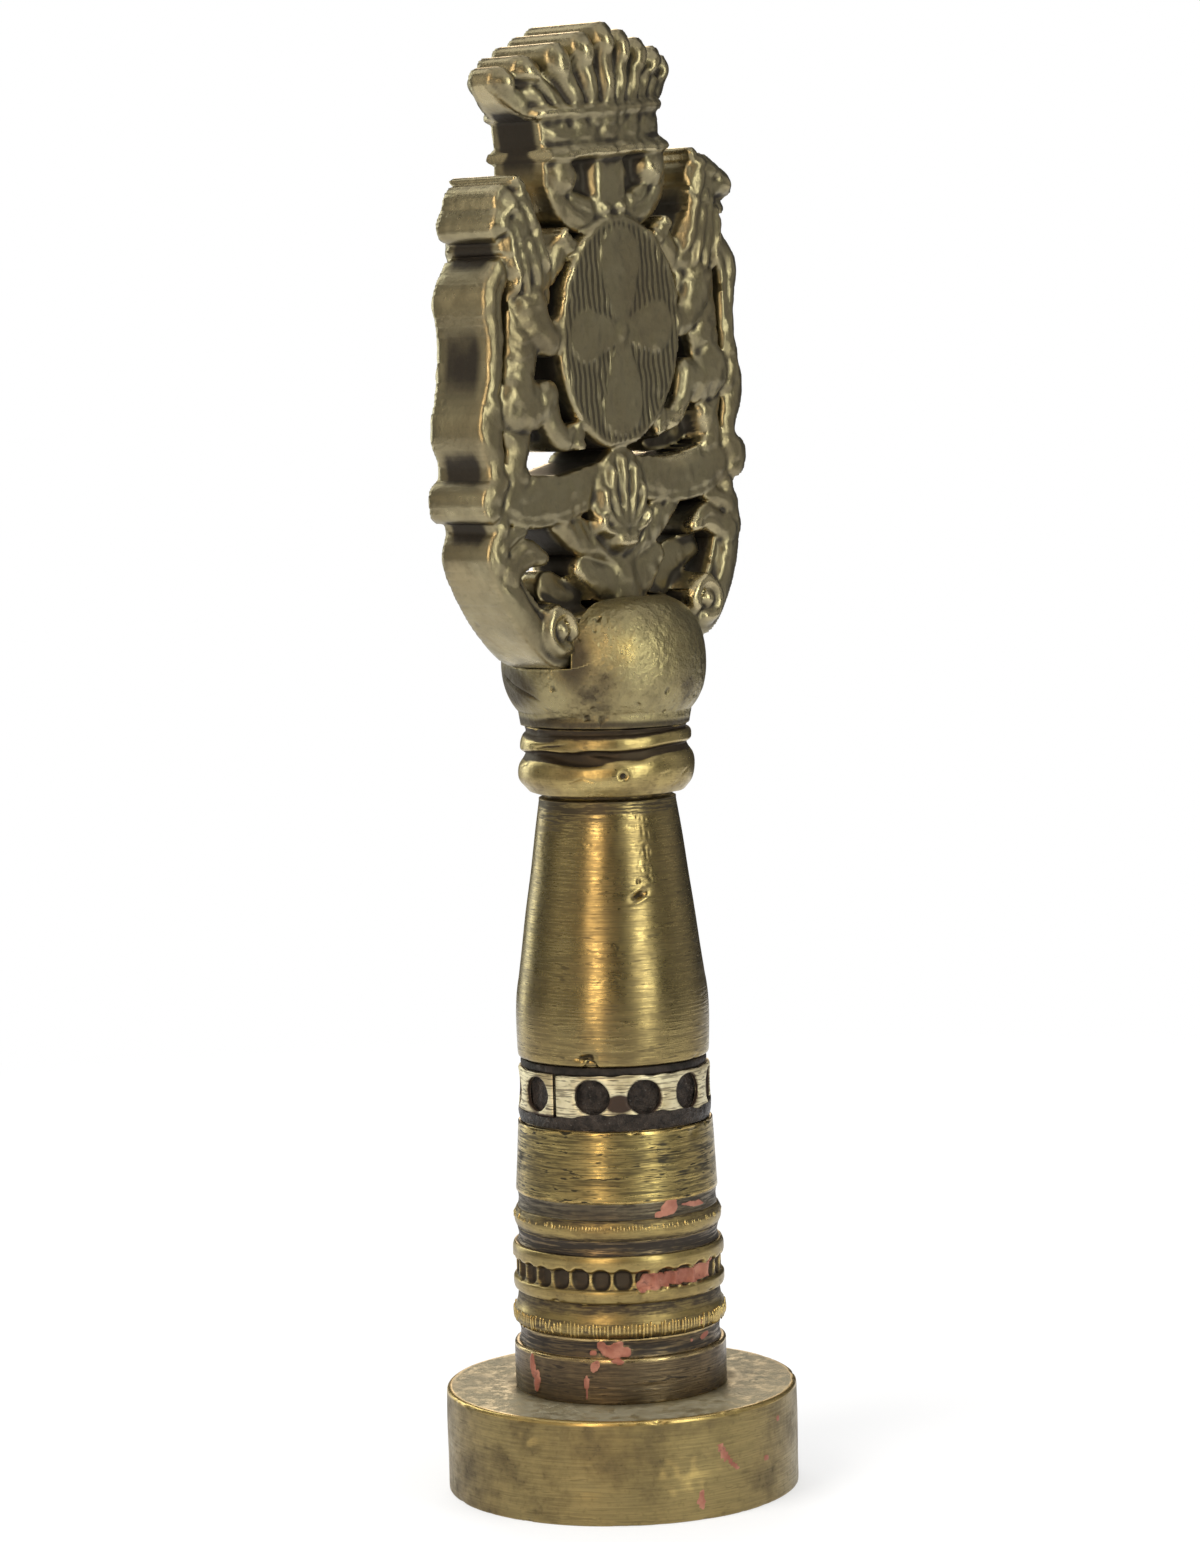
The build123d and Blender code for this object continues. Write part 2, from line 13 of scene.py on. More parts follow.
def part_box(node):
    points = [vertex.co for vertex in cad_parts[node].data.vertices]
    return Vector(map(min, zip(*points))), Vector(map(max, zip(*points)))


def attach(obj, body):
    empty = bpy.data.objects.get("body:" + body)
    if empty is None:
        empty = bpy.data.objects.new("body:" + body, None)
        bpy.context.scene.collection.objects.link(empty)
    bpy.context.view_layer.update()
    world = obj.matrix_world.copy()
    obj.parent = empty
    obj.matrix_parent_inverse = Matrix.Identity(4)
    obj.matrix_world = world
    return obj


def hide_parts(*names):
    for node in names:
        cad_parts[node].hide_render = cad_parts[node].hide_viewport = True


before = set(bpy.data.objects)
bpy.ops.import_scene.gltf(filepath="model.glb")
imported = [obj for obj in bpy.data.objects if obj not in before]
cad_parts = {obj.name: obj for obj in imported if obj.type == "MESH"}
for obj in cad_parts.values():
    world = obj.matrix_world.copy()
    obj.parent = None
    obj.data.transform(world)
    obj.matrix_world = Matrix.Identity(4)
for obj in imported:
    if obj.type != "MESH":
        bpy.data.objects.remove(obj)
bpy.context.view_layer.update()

LOG = logging.getLogger("seal_stamp")
MM = 0.001
FULL_TURN = 2.0 * math.pi
FRONT_POLAR = 220.0  # polar angle, in degrees, of the side that the photograph shows
ALL_ROUND = (-FRONT_POLAR, 360.0 - FRONT_POLAR)  # degrees right of the front that make a whole turn
AXIS = 0.05  # radius of the ring that closes a solid piece at its axis
SHARP = 50.0  # edges that turn by more degrees are shaded sharp
HIDDEN_STEP = 0.6  # length of faces where nothing shows
TINY = 1e-9  # least length that is divided by
THREAD_PITCH = 1.25
WHITE = (1.0, 1.0, 1.0)

Array = np.ndarray
Chance = np.random.RandomState
Material = bpy.types.Material
Piece = bpy.types.Object
Place = tuple[float, float]
Shift = Callable[[Array, Array], Array]  # a change by polar angle and height
Socket = bpy.types.NodeSocket
Tree = bpy.types.NodeTree
Triple = tuple[float, float, float]
Colour = Triple
Corner = Triple  # radius, height and rounding
Stroke = Sequence[Triple]  # across, up and half width


class Body(Enum):
    """The bodies that pieces ride on."""

    BASE = "base"
    WASHER = "washer"
    GRIP = "grip"


class Mark(Enum):
    """Vertex attributes that the finishes read."""

    # worn metal, and painted highlights on some edges, walls and the knob
    WORN = "worn"
    # hollows: patina and dirt, and painted shade on the finial's walls and relief
    HOLLOW = "hollow"
    WAX = "wax"
    DUST = "dust"
    HATCH = "hatch"


class Seed(Enum):
    """Fixed seeds, so that every run gives the same marks."""

    DIE = 11
    RINGS = 23
    BAND = 31
    HANDLE = 47
    NECK = 59
    KNOB = 61
    FINIAL = 73
    MILLING = 7


class Ends(Enum):
    """What joins the first and the last ring of a tube."""

    OPEN = "open"
    BORED = "bored"
    CAPPED = "capped"


def polar_of(turn: float) -> float:
    """Polar angle, in radians, of a place so many degrees right of the middle of the front."""
    return math.radians(FRONT_POLAR + turn)


def past(arc: Array, turn: float) -> Array:
    """Angles, in radians, by which places lie past a place so many degrees right of the front."""
    return np.mod(arc - polar_of(turn) + math.pi, FULL_TURN) - math.pi


def ease(values: Array, low: float, high: float) -> Array:
    """Smooth step of values from 0 at low to 1 at high."""
    share = np.clip((values - low) / (high - low), 0.0, 1.0)
    return share * share * (3.0 - 2.0 * share)


def bell(across: Array, wide: float, up: Array | float = 0.0, tall: float = 1.0) -> Array:
    """Soft hump: 1 where both distances are 0, fading over their half widths."""
    return np.exp(-((across / wide) ** 2) - (up / tall) ** 2)


def bowl(share: Array) -> Array:
    """Parabola: 1 at a share of 0, and 0 from a share of 1 on."""
    return np.clip(1.0 - share**2, 0.0, 1.0)


def dome(share: Array) -> Array:
    """Round dome: 1 at a share of 0, and 0 from a share of 1 on."""
    return np.sqrt(bowl(share))


def ripples(arc: Array, *waves: Triple) -> Array:
    """Sum of waves round the axis, given by height, number round and phase."""
    return sum(height * np.cos(turns * arc + phase) for height, turns, phase in waves)


def from_nearest(arc: Array, count: int) -> Array:
    """Angles by which places lie past the nearest of so many even divisions of the turn."""
    step = FULL_TURN / count
    return np.mod(arc + step / 2, step) - step / 2


def unit(rows: Array) -> Array:
    """Rows scaled to a length of 1."""
    return rows / np.maximum(np.linalg.norm(rows, axis=1), TINY)[:, None]


def dots(first: Array, second: Array) -> Array:
    """Dot product of each row with the same row of the other array."""
    return np.einsum("ij,ij->i", first, second)


def level(node: str) -> Place:
    """Lowest and highest point of a CAD node, in millimetres."""
    low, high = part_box(node)
    return low.z / MM, high.z / MM


# Meshes


def add_object(name: str, data: bpy.types.ID) -> Piece:
    """Adds an object to the scene.

    Args:
        name: its name.
        data: its mesh, lamp or camera.

    Returns:
        The object, at the origin.
    """
    made = bpy.data.objects.new(name, data)
    bpy.context.scene.collection.objects.link(made)
    return made


def frozen_mesh(piece: Piece) -> bpy.types.Mesh:
    """The plain mesh that a piece's modifiers give."""
    evaluated = piece.evaluated_get(bpy.context.evaluated_depsgraph_get())
    return bpy.data.meshes.new_from_object(evaluated)


def read_rows(elements: bpy.types.bpy_prop_collection, key: str, width: int, kind: type = float) -> Array:
    """Reads a property of all elements of a mesh.

    Args:
        elements: the mesh's vertices, edges or other elements.
        key: the property.
        width: how many values it has.
        kind: the values' type.

    Returns:
        A row for each element.
    """
    values = np.empty(len(elements) * width, kind)
    elements.foreach_get(key, values)
    return values.reshape(-1, width)


def write_mark(mesh: bpy.types.Mesh, mark: Mark, values: Array) -> None:
    """Writes a value per vertex as an attribute of a mesh."""
    layer = mesh.attributes.get(mark.value) or mesh.attributes.new(mark.value, "FLOAT", "POINT")
    layer.data.foreach_set("value", np.asarray(values, np.float32))


def tube_faces(rows: int, columns: int, ends: Ends) -> list[list[int]]:
    """Faces between rings of vertices that are numbered ring by ring.

    Args:
        rows: how many rings there are.
        columns: how many vertices each has.
        ends: what joins the first and the last ring.

    Returns:
        The faces.
    """
    index = np.arange(rows * columns).reshape(rows, columns)
    if ends is Ends.BORED:
        index = np.vstack([index, index[:1]])
    after = np.roll(index, -1, axis=1)
    faces = np.stack([index[:-1], after[:-1], after[1:], index[1:]], axis=2).reshape(-1, 4).tolist()
    if ends is Ends.CAPPED:
        faces += [index[0][::-1].tolist(), index[-1].tolist()]
    return faces


def add_curvature(piece: Piece, spread: int = 5, gain: float = 2.6) -> None:
    """Adds to the worn and hollow marks of a piece what its own edges and corners give.

    Args:
        piece: the object whose mesh is marked.
        spread: how many times the curvature is averaged over neighbours.
        gain: how strongly it counts.
    """
    mesh = piece.data
    count = len(mesh.vertices)
    places = read_rows(mesh.vertices, "co", 3)
    normals = read_rows(mesh.vertex_normals, "vector", 3)
    ends = read_rows(mesh.edges, "vertices", 2, np.int64)
    first, second = ends.T
    offset = unit(places[second] - places[first])
    degree = np.maximum(np.bincount(ends.reshape(-1), minlength=count), 1)
    bend = np.bincount(first, dots(offset, normals[first]), count)
    bend -= np.bincount(second, dots(offset, normals[second]), count)
    bend /= degree
    for _ in range(spread):
        around = np.bincount(first, bend[second], count) + np.bincount(second, bend[first], count)
        bend = 0.5 * bend + 0.5 * around / degree
    for mark, amount in ((Mark.WORN, -bend), (Mark.HOLLOW, bend)):
        layer = mesh.attributes.get(mark.value)
        before = read_rows(layer.data, "value", 1)[:, 0] if layer else 0.0
        write_mark(mesh, mark, np.clip(before + gain * np.clip(amount, 0, 1), 0, 1))


@dataclass(frozen=True)
class Spot:
    """A spot on a turned surface: degrees right of the front, height, half sizes, depth and slant."""

    turn: float
    height: float
    wide: float
    tall: float
    depth: float = 0.05
    slant: float = 0.0

    def local(self, arc: Array, rise: Array, radius: float) -> tuple[Array, Array]:
        """Distances of places, round and up, from the slanted middle of the spot, in millimetres."""
        across = past(arc, self.turn) * radius
        return across, rise - self.height - self.slant * across


@dataclass(frozen=True)
class Dent(Spot):
    """A small hollow, or a bump where its depth is negative."""

    def sink(self, arc: Array, rise: Array, radius: float) -> Array:
        """Depth of the dent at places given by polar angle, in radians, and height."""
        across, up = self.local(arc, rise, radius)
        return self.depth * bell(across, self.wide, up, self.tall)


@dataclass(frozen=True)
class Smear(Spot):
    """A smear of wax or a stain, whose depth is its thickness or strength, with a ragged and soft edge."""

    ragged: float = 1.0
    soft: float = 0.28

    def cover(self, arc: Array, rise: Array, radius: float, chance: Chance) -> Array:
        """How much of each place the smear covers, from 0 to 1.

        Args:
            arc: polar angles of the places, in radians.
            rise: heights of the places.
            radius: radius of the surface.
            chance: source of the ragged edge.

        Returns:
            The cover at each place.
        """
        across, up = self.local(arc, rise, radius)
        waves, count = np.zeros_like(arc), 12
        for _ in range(count):
            swing, climb = chance.uniform(-7.0, 7.0, 2)
            waves += np.cos(swing * across + climb * up + chance.uniform(0.0, FULL_TURN)) / count
        share = np.hypot(across / self.wide, up / self.tall)
        return ease(1.0 - share + self.ragged * waves * (share < 1.5), 0.02, 0.02 + self.soft)


def dents(*rows: Sequence[float]) -> list[Dent]:
    """Dents from rows of their values."""
    return [Dent(*row) for row in rows]


def smears(*rows: Sequence[float], **shared: float) -> list[Smear]:
    """Smears from rows of their values and the values that they share."""
    return [Smear(*row, **shared) for row in rows]


def scatter(chance: Chance, count: int, *spans: Place) -> list[Dent]:
    """Random dents, with each value drawn in turn between the two ends of its span."""
    return [Dent(*(chance.uniform(*span) for span in spans)) for _ in range(count)]


@dataclass
class Shell:
    """A mesh in the making, in millimetres: points, faces that point outwards, and marks per vertex."""

    points: Array
    faces: list[list[int]]
    marks: dict[Mark, Array] = field(default_factory=dict)

    def cylinder(self) -> tuple[Array, Array, Array]:
        """Polar angle, radius and height of each vertex."""
        x, y, z = self.points.T
        return np.arctan2(y, x), np.hypot(x, y), z

    def raise_mark(self, mark: Mark, values: Array) -> None:
        """Raises a mark to these values where it is lower."""
        self.marks[mark] = np.maximum(self.marks.get(mark, 0.0), values)

    def stain(self, mark: Mark, spots: Sequence[Smear], radius: float, chance: Chance,
              where: Array | float) -> None:
        """Raises a mark under smears, by the depth of each.

        Args:
            mark: the mark.
            spots: the smears.
            radius: radius of the surface.
            chance: source of their ragged edges.
            where: share of each vertex that may be stained.
        """
        arc, _, rise = self.cylinder()
        for spot in spots:
            self.raise_mark(mark, spot.depth * spot.cover(arc, rise, radius, chance) * where)

    def to_object(self, name: str, sharp: float = SHARP) -> Piece:
        """Makes a Blender object of the shell.

        Args:
            name: the object's name.
            sharp: edges that turn by more degrees are shaded sharp.

        Returns:
            The object.
        """
        mesh = bpy.data.meshes.new(name)
        mesh.from_pydata((self.points * MM).tolist(), [], self.faces)
        mesh.validate()
        mesh.shade_smooth()
        mesh.set_sharp_from_angle(angle=math.radians(sharp))
        for mark, values in self.marks.items():
            write_mark(mesh, mark, values)
        return add_object(name, mesh)


@dataclass
class Turning:
    """A piece turned on a lathe: an outline of radius and height, with the marks of hand work.

    Args:
        outline: radius and height of each corner, from the bore's lower end round to its upper end.
        seed: seed of its random marks.
        columns: how many faces go round.
        step: length of the faces along the outline.
        hidden: radius inside which nothing shows, so that the faces are long.
        ends: what joins the outline's two ends.
        wander: how far the surface strays from round.
        nicks: how many random nicks its edges have.
        dents: single dents.
        wax: smears of wax on it.
        warp: extra change of radius.
        lift: extra change of height.
        nick_spans: least and most half width, half height, depth and slant of a nick.
    """

    outline: Sequence[Place]
    seed: int
    columns: int = 360
    step: float = 0.11
    hidden: float = 0.0
    ends: Ends = Ends.BORED
    wander: float = 0.015
    nicks: int = 0
    dents: Sequence[Dent] = ()
    wax: Sequence[Smear] = ()
    warp: Shift | None = None
    lift: Shift | None = None
    nick_spans: Sequence[Place] = ((0.12, 0.55), (0.08, 0.2), (0.02, 0.11), (-0.4, 0.4))

    def rows(self) -> Array:
        """Radius and height of each row of vertices along the outline.

        Returns:
            A row for each.
        """
        corners = np.asarray(self.outline, float)
        runs = []
        for start, end in zip(corners[:-1], corners[1:]):
            step = self.step if max(start[0], end[0]) > self.hidden else HIDDEN_STEP
            count = max(1, int(math.ceil(np.hypot(*(end - start)) / step)))
            share = np.linspace(0.0, 1.0, count, endpoint=False)[:, None]
            runs.append(start + (end - start) * share)
        return np.vstack([*runs, corners[-1:]])

    def ripple(self, arc: Array, height: Array) -> Array:
        """Slow uneven change of radius that hand turning and wear leave.

        Args:
            arc: polar angles of the places.
            height: their heights.

        Returns:
            The change at each place.
        """
        chance = Chance(self.seed)
        total = np.zeros_like(arc)
        for turns in (2, 3, 5, 7, 11, 16):
            phase, tilt = chance.uniform(0.0, FULL_TURN), chance.uniform(-1.2, 1.2)
            total += np.cos(turns * arc + tilt * height + phase) / math.sqrt(turns)
        return self.wander * total

    def nick_depth(self, arc: Array, height: Array, rows: Array, edges: Array) -> Array:
        """Depth of the random nicks, which sit on the outline's outer edges.

        Args:
            arc: polar angles of the places.
            height: their heights.
            rows: radius and height of each row.
            edges: numbers of the rows at the outer edges.

        Returns:
            The depth at each place.
        """
        chance = Chance(self.seed + 1)
        total = np.zeros_like(arc)
        for _ in range(self.nicks if len(edges) else 0):
            radius, rise = rows[chance.choice(edges)]
            turn = chance.uniform(*ALL_ROUND)
            nick = Dent(turn, rise, *(chance.uniform(*span) for span in self.nick_spans))
            total += nick.sink(arc, height, radius)
        return total

    def wax_cover(self, arc: Array, height: Array) -> tuple[Array, Array]:
        """Wax on the surface.

        Args:
            arc: polar angles of the places.
            height: their heights.

        Returns:
            How much of each place is covered, from 0 to 1, and how thickly.
        """
        chance = Chance(self.seed + 2)
        reach = max(radius for radius, _ in self.outline)
        cover, thick = np.zeros_like(arc), np.zeros_like(arc)
        for smear in self.wax:
            own = smear.cover(arc, height, reach, chance)
            cover = np.maximum(cover, own)
            thick = np.maximum(thick, own * smear.depth)
        return cover, thick

    def shell(self) -> Shell:
        """Turns the outline.

        Returns:
            The shell, with its wax marked.
        """
        rows = self.rows()
        angles = np.linspace(0.0, FULL_TURN, self.columns, endpoint=False)
        arc, radius = np.meshgrid(angles, rows[:, 0])
        height = np.repeat(rows[:, 1:], self.columns, axis=1)
        along = unit(np.gradient(rows, axis=0))
        outward = np.stack([along[:, 1], -along[:, 0]], axis=1)
        turn = np.gradient(np.unwrap(np.arctan2(along[:, 1], along[:, 0])))
        outer = ease(radius, 0.0, 1.5)
        wall = ease(outward[:, :1], 0.1, 0.5) * outer
        sink = -self.ripple(arc, height) * outer
        for dent in self.dents:
            sink += dent.sink(arc, height, rows[:, 0].max()) * wall
        edges = np.flatnonzero(ease(turn, 0.1, 0.5) > 0.5)
        sink += self.nick_depth(arc, height, rows, edges) * wall
        cover, thick = self.wax_cover(arc, height)
        sink -= thick
        reach = radius - sink * outward[:, :1]
        rise = height - sink * outward[:, 1:]
        if self.warp:
            reach = reach + self.warp(arc, height)
        if self.lift:
            rise = rise + self.lift(arc, height)
        reach = np.maximum(reach, 0.0)
        points = np.stack([reach * np.cos(arc), reach * np.sin(arc), rise], axis=2).reshape(-1, 3)
        faces = tube_faces(len(rows), self.columns, self.ends)
        return Shell(points, faces, {Mark.WAX: cover.reshape(-1)})


def rounded(corners: Sequence[Corner], bend: int = 5) -> list[Place]:
    """Outline with rounded corners.

    Args:
        corners: radius, height and rounding of each corner.
        bend: points on each rounding.

    Returns:
        The outline's points.
    """
    places = [np.array(corner[:2]) for corner in corners]
    result: list[Place] = []
    for i, (corner, place) in enumerate(zip(corners, places)):
        if corner[2] <= 0.0 or i in (0, len(corners) - 1):
            result.append(tuple(place))
            continue
        before, after = places[i - 1] - place, places[i + 1] - place
        cut = min(corner[2], 0.49 * np.linalg.norm(before), 0.49 * np.linalg.norm(after))
        start = place + before / np.linalg.norm(before) * cut
        end = place + after / np.linalg.norm(after) * cut
        result += arched(start, place, end, bend)
    return result


def arched(start: Array, pull: Array, end: Array, count: int) -> list[Place]:
    """Points of a curve from start to end that bends towards a third point, both ends included."""
    share = np.linspace(0.0, 1.0, count)[:, None]
    return [tuple(row) for row in (1 - share) ** 2 * start + 2 * share * (1 - share) * pull + share**2 * end]


def bowed(start: Place, middle: Place, end: Place, count: int) -> list[Place]:
    """Points of a smooth curve through three places of an outline, both ends included."""
    first, last = np.array(start), np.array(end)
    return arched(first, 2 * np.array(middle) - (first + last) / 2, last, count)


@dataclass
class CutSheet:
    """A sheet with a free outline: a grid of heights, kept where the gap to its outline is negative.

    Args:
        across: places of the grid's columns.
        up: places of the grid's rows.
        gap: signed distance to the outline at each grid point, negative inside.
        front: height of the front at each grid point.
        edge: height of the front where the outline cuts the grid.
        back: height of the back at each grid point.
        back_edge: height of the back where the outline cuts the grid.
        wall_rows: rows of faces on the walls.
        marks: marks of the front at each grid point.
        wall_marks: least marks of the walls, by place on the outline.
        wall_swell: how strongly bumps and notches of the outline show on the walls, as painted highlight on
            the bumps and painted shade in the notches.
        wall_share: share of the front's marks that the walls take over.
        plan_rounds: how many times the outline is averaged to find them.
        swell_rounds: how many times their heights are averaged.
    """

    across: Array
    up: Array
    gap: Array
    front: Array
    edge: Array
    back: Array
    back_edge: Array
    wall_rows: int
    marks: dict[Mark, Array]
    wall_marks: dict[Mark, Callable[[Array], Array]]
    wall_swell: float = 0.0
    wall_share: float = 0.35
    plan_rounds: int = 400
    swell_rounds: int = 120

    def swell(self, plan: Array, first: Array, second: Array) -> Array:
        """How far each vertex of the outline stands out from the smoothed outline, in millimetres.

        Args:
            plan: places of the vertices on the outline.
            first: numbers of vertices.
            second: numbers of the vertices that follow them on the outline.

        Returns:
            A value per vertex, negative in notches.
        """
        after, before = np.arange(len(plan)), np.arange(len(plan))
        after[first] = second
        before[second] = first

        def averaged(values: Array, rounds: int) -> Array:
            """Averages values along the outline, so many times."""
            for _ in range(rounds):
                values = 0.5 * values + 0.25 * (values[after] + values[before])
            return values

        calm = averaged(plan, self.plan_rounds)
        along = unit(calm[after] - calm[before])
        outward = np.stack([along[:, 1], -along[:, 0]], axis=1)
        return averaged(dots(plan - calm, outward), self.swell_rounds)

    def cells(self) -> tuple[list[list[int]], Array, Array, Array]:
        """Cuts the grid's cells along the outline.

        Returns:
            The faces, the pairs of vertices that follow each other on the outline, and row and column of the
            grid points just inside and just outside each cut.
        """
        inside = self.gap < 0
        first = int(inside.sum())
        number = np.full(inside.shape, -1)
        number[inside] = np.arange(first)
        corners = np.stack([number[:-1, :-1], number[:-1, 1:], number[1:, 1:], number[1:, :-1]], axis=2)
        full = (corners >= 0).all(axis=2)
        faces = corners[full].tolist()
        walls: list[tuple[int, int]] = []
        cuts: dict[tuple, int] = {}
        for i, j in np.argwhere((corners >= 0).any(axis=2) & ~full):
            ring = [(i, j), (i, j + 1), (i + 1, j + 1), (i + 1, j)]
            face: list[int] = []
            for here, following in zip(ring, ring[1:] + ring[:1]):
                if inside[here]:
                    face.append(int(number[here]))
                if inside[here] != inside[following]:
                    ends = (here, following) if inside[here] else (following, here)
                    face.append(cuts.setdefault(ends, first + len(cuts)))
            walls += [pair for pair in zip(face[-1:] + face[:-1], face) if min(pair) >= first]
            faces.append(face)
        inner, outer = np.array(list(cuts)).transpose(1, 2, 0)
        return faces, np.array(walls), inner, outer

    def shell(self, place: Callable[[Array], Array]) -> Shell:
        """Makes the closed shell of the sheet.

        Args:
            place: turns rows of (across, up, out) into rows of (x, y, z).

        Returns:
            The shell, with the marks of the front on both sides.
        """
        front_faces, walls, *cuts = self.cells()
        inner, outer = (tuple(cut) for cut in cuts)
        inside = self.gap < 0
        share = np.clip(self.gap[inner] / (self.gap[inner] - self.gap[outer]), 0.04, 0.96)
        grids = np.meshgrid(self.across, self.up)
        spots = [grid[inner] + (grid[outer] - grid[inner]) * share for grid in grids]
        plan = np.stack([np.concatenate([grid[inside], spot]) for grid, spot in zip(grids, spots)], axis=1)
        top = np.concatenate([self.front[inside], self.edge[outer]])
        bottom = np.concatenate([self.back[inside], self.back_edge[outer]])
        size, first = len(plan), int(inside.sum())
        rim = np.arange(first, size)
        layers = [np.column_stack([plan, top]), np.column_stack([plan, bottom])]
        for down in np.linspace(0.0, 1.0, self.wall_rows + 1)[1:-1]:
            layers.append(np.column_stack([plan[rim], top[rim] + (bottom[rim] - top[rim]) * down]))
        faces = front_faces + [[vertex + size for vertex in reversed(face)] for face in front_faces]
        starts = [0, *(2 * size - first + k * len(rim) for k in range(self.wall_rows - 1)), size]
        a, b = walls.T
        for above, below in zip(starts[:-1], starts[1:]):
            faces += np.stack([b + above, a + above, a + below, b + below], axis=1).tolist()
        # Painted light on the walls: bumps of the outline get a painted highlight, notches a painted shade.
        stand = self.wall_swell * self.swell(plan[rim], a - first, b - first) if self.wall_swell else 0.0
        painted_light_signs = {Mark.WORN: 0.45, Mark.HOLLOW: -1.0}
        marks = {}
        for mark, grid in self.marks.items():
            values = np.concatenate([grid[inside], grid[inner]])
            wall = values[rim] * self.wall_share
            if mark in self.wall_marks:
                wall = np.maximum(wall, self.wall_marks[mark](plan[rim]))
            wall = np.clip(wall + painted_light_signs.get(mark, 0.0) * stand, 0.0, 1.0)
            marks[mark] = np.concatenate([values, values] + [wall] * (self.wall_rows - 1))
        return Shell(place(np.vstack(layers)), faces, marks)


# Relief of the finial


def smooth_path(points: Stroke, gap: float = 0.12) -> Array:
    """Points and half widths along a stroke, on a smooth curve through its own points.

    Args:
        points: the stroke's own points, two or more.
        gap: distance between the points of the curve.

    Returns:
        A row for each point.
    """
    knots = np.asarray(points, float)
    padded = np.vstack([2 * knots[0] - knots[1], knots, 2 * knots[-1] - knots[-2]])
    rows = []
    for a, b, c, d in zip(padded, padded[1:], padded[2:], padded[3:]):
        count = max(2, int(np.hypot(*(c - b)[:2]) / gap))
        t = np.linspace(0.0, 1.0, count, endpoint=False)[:, None]
        bends = (2 * a - 5 * b + 4 * c - d) * t**2 + (3 * b - a - 3 * c + d) * t**3
        rows.append(0.5 * (2 * b + (c - a) * t + bends))
    return np.vstack([*rows, knots[-1:]])


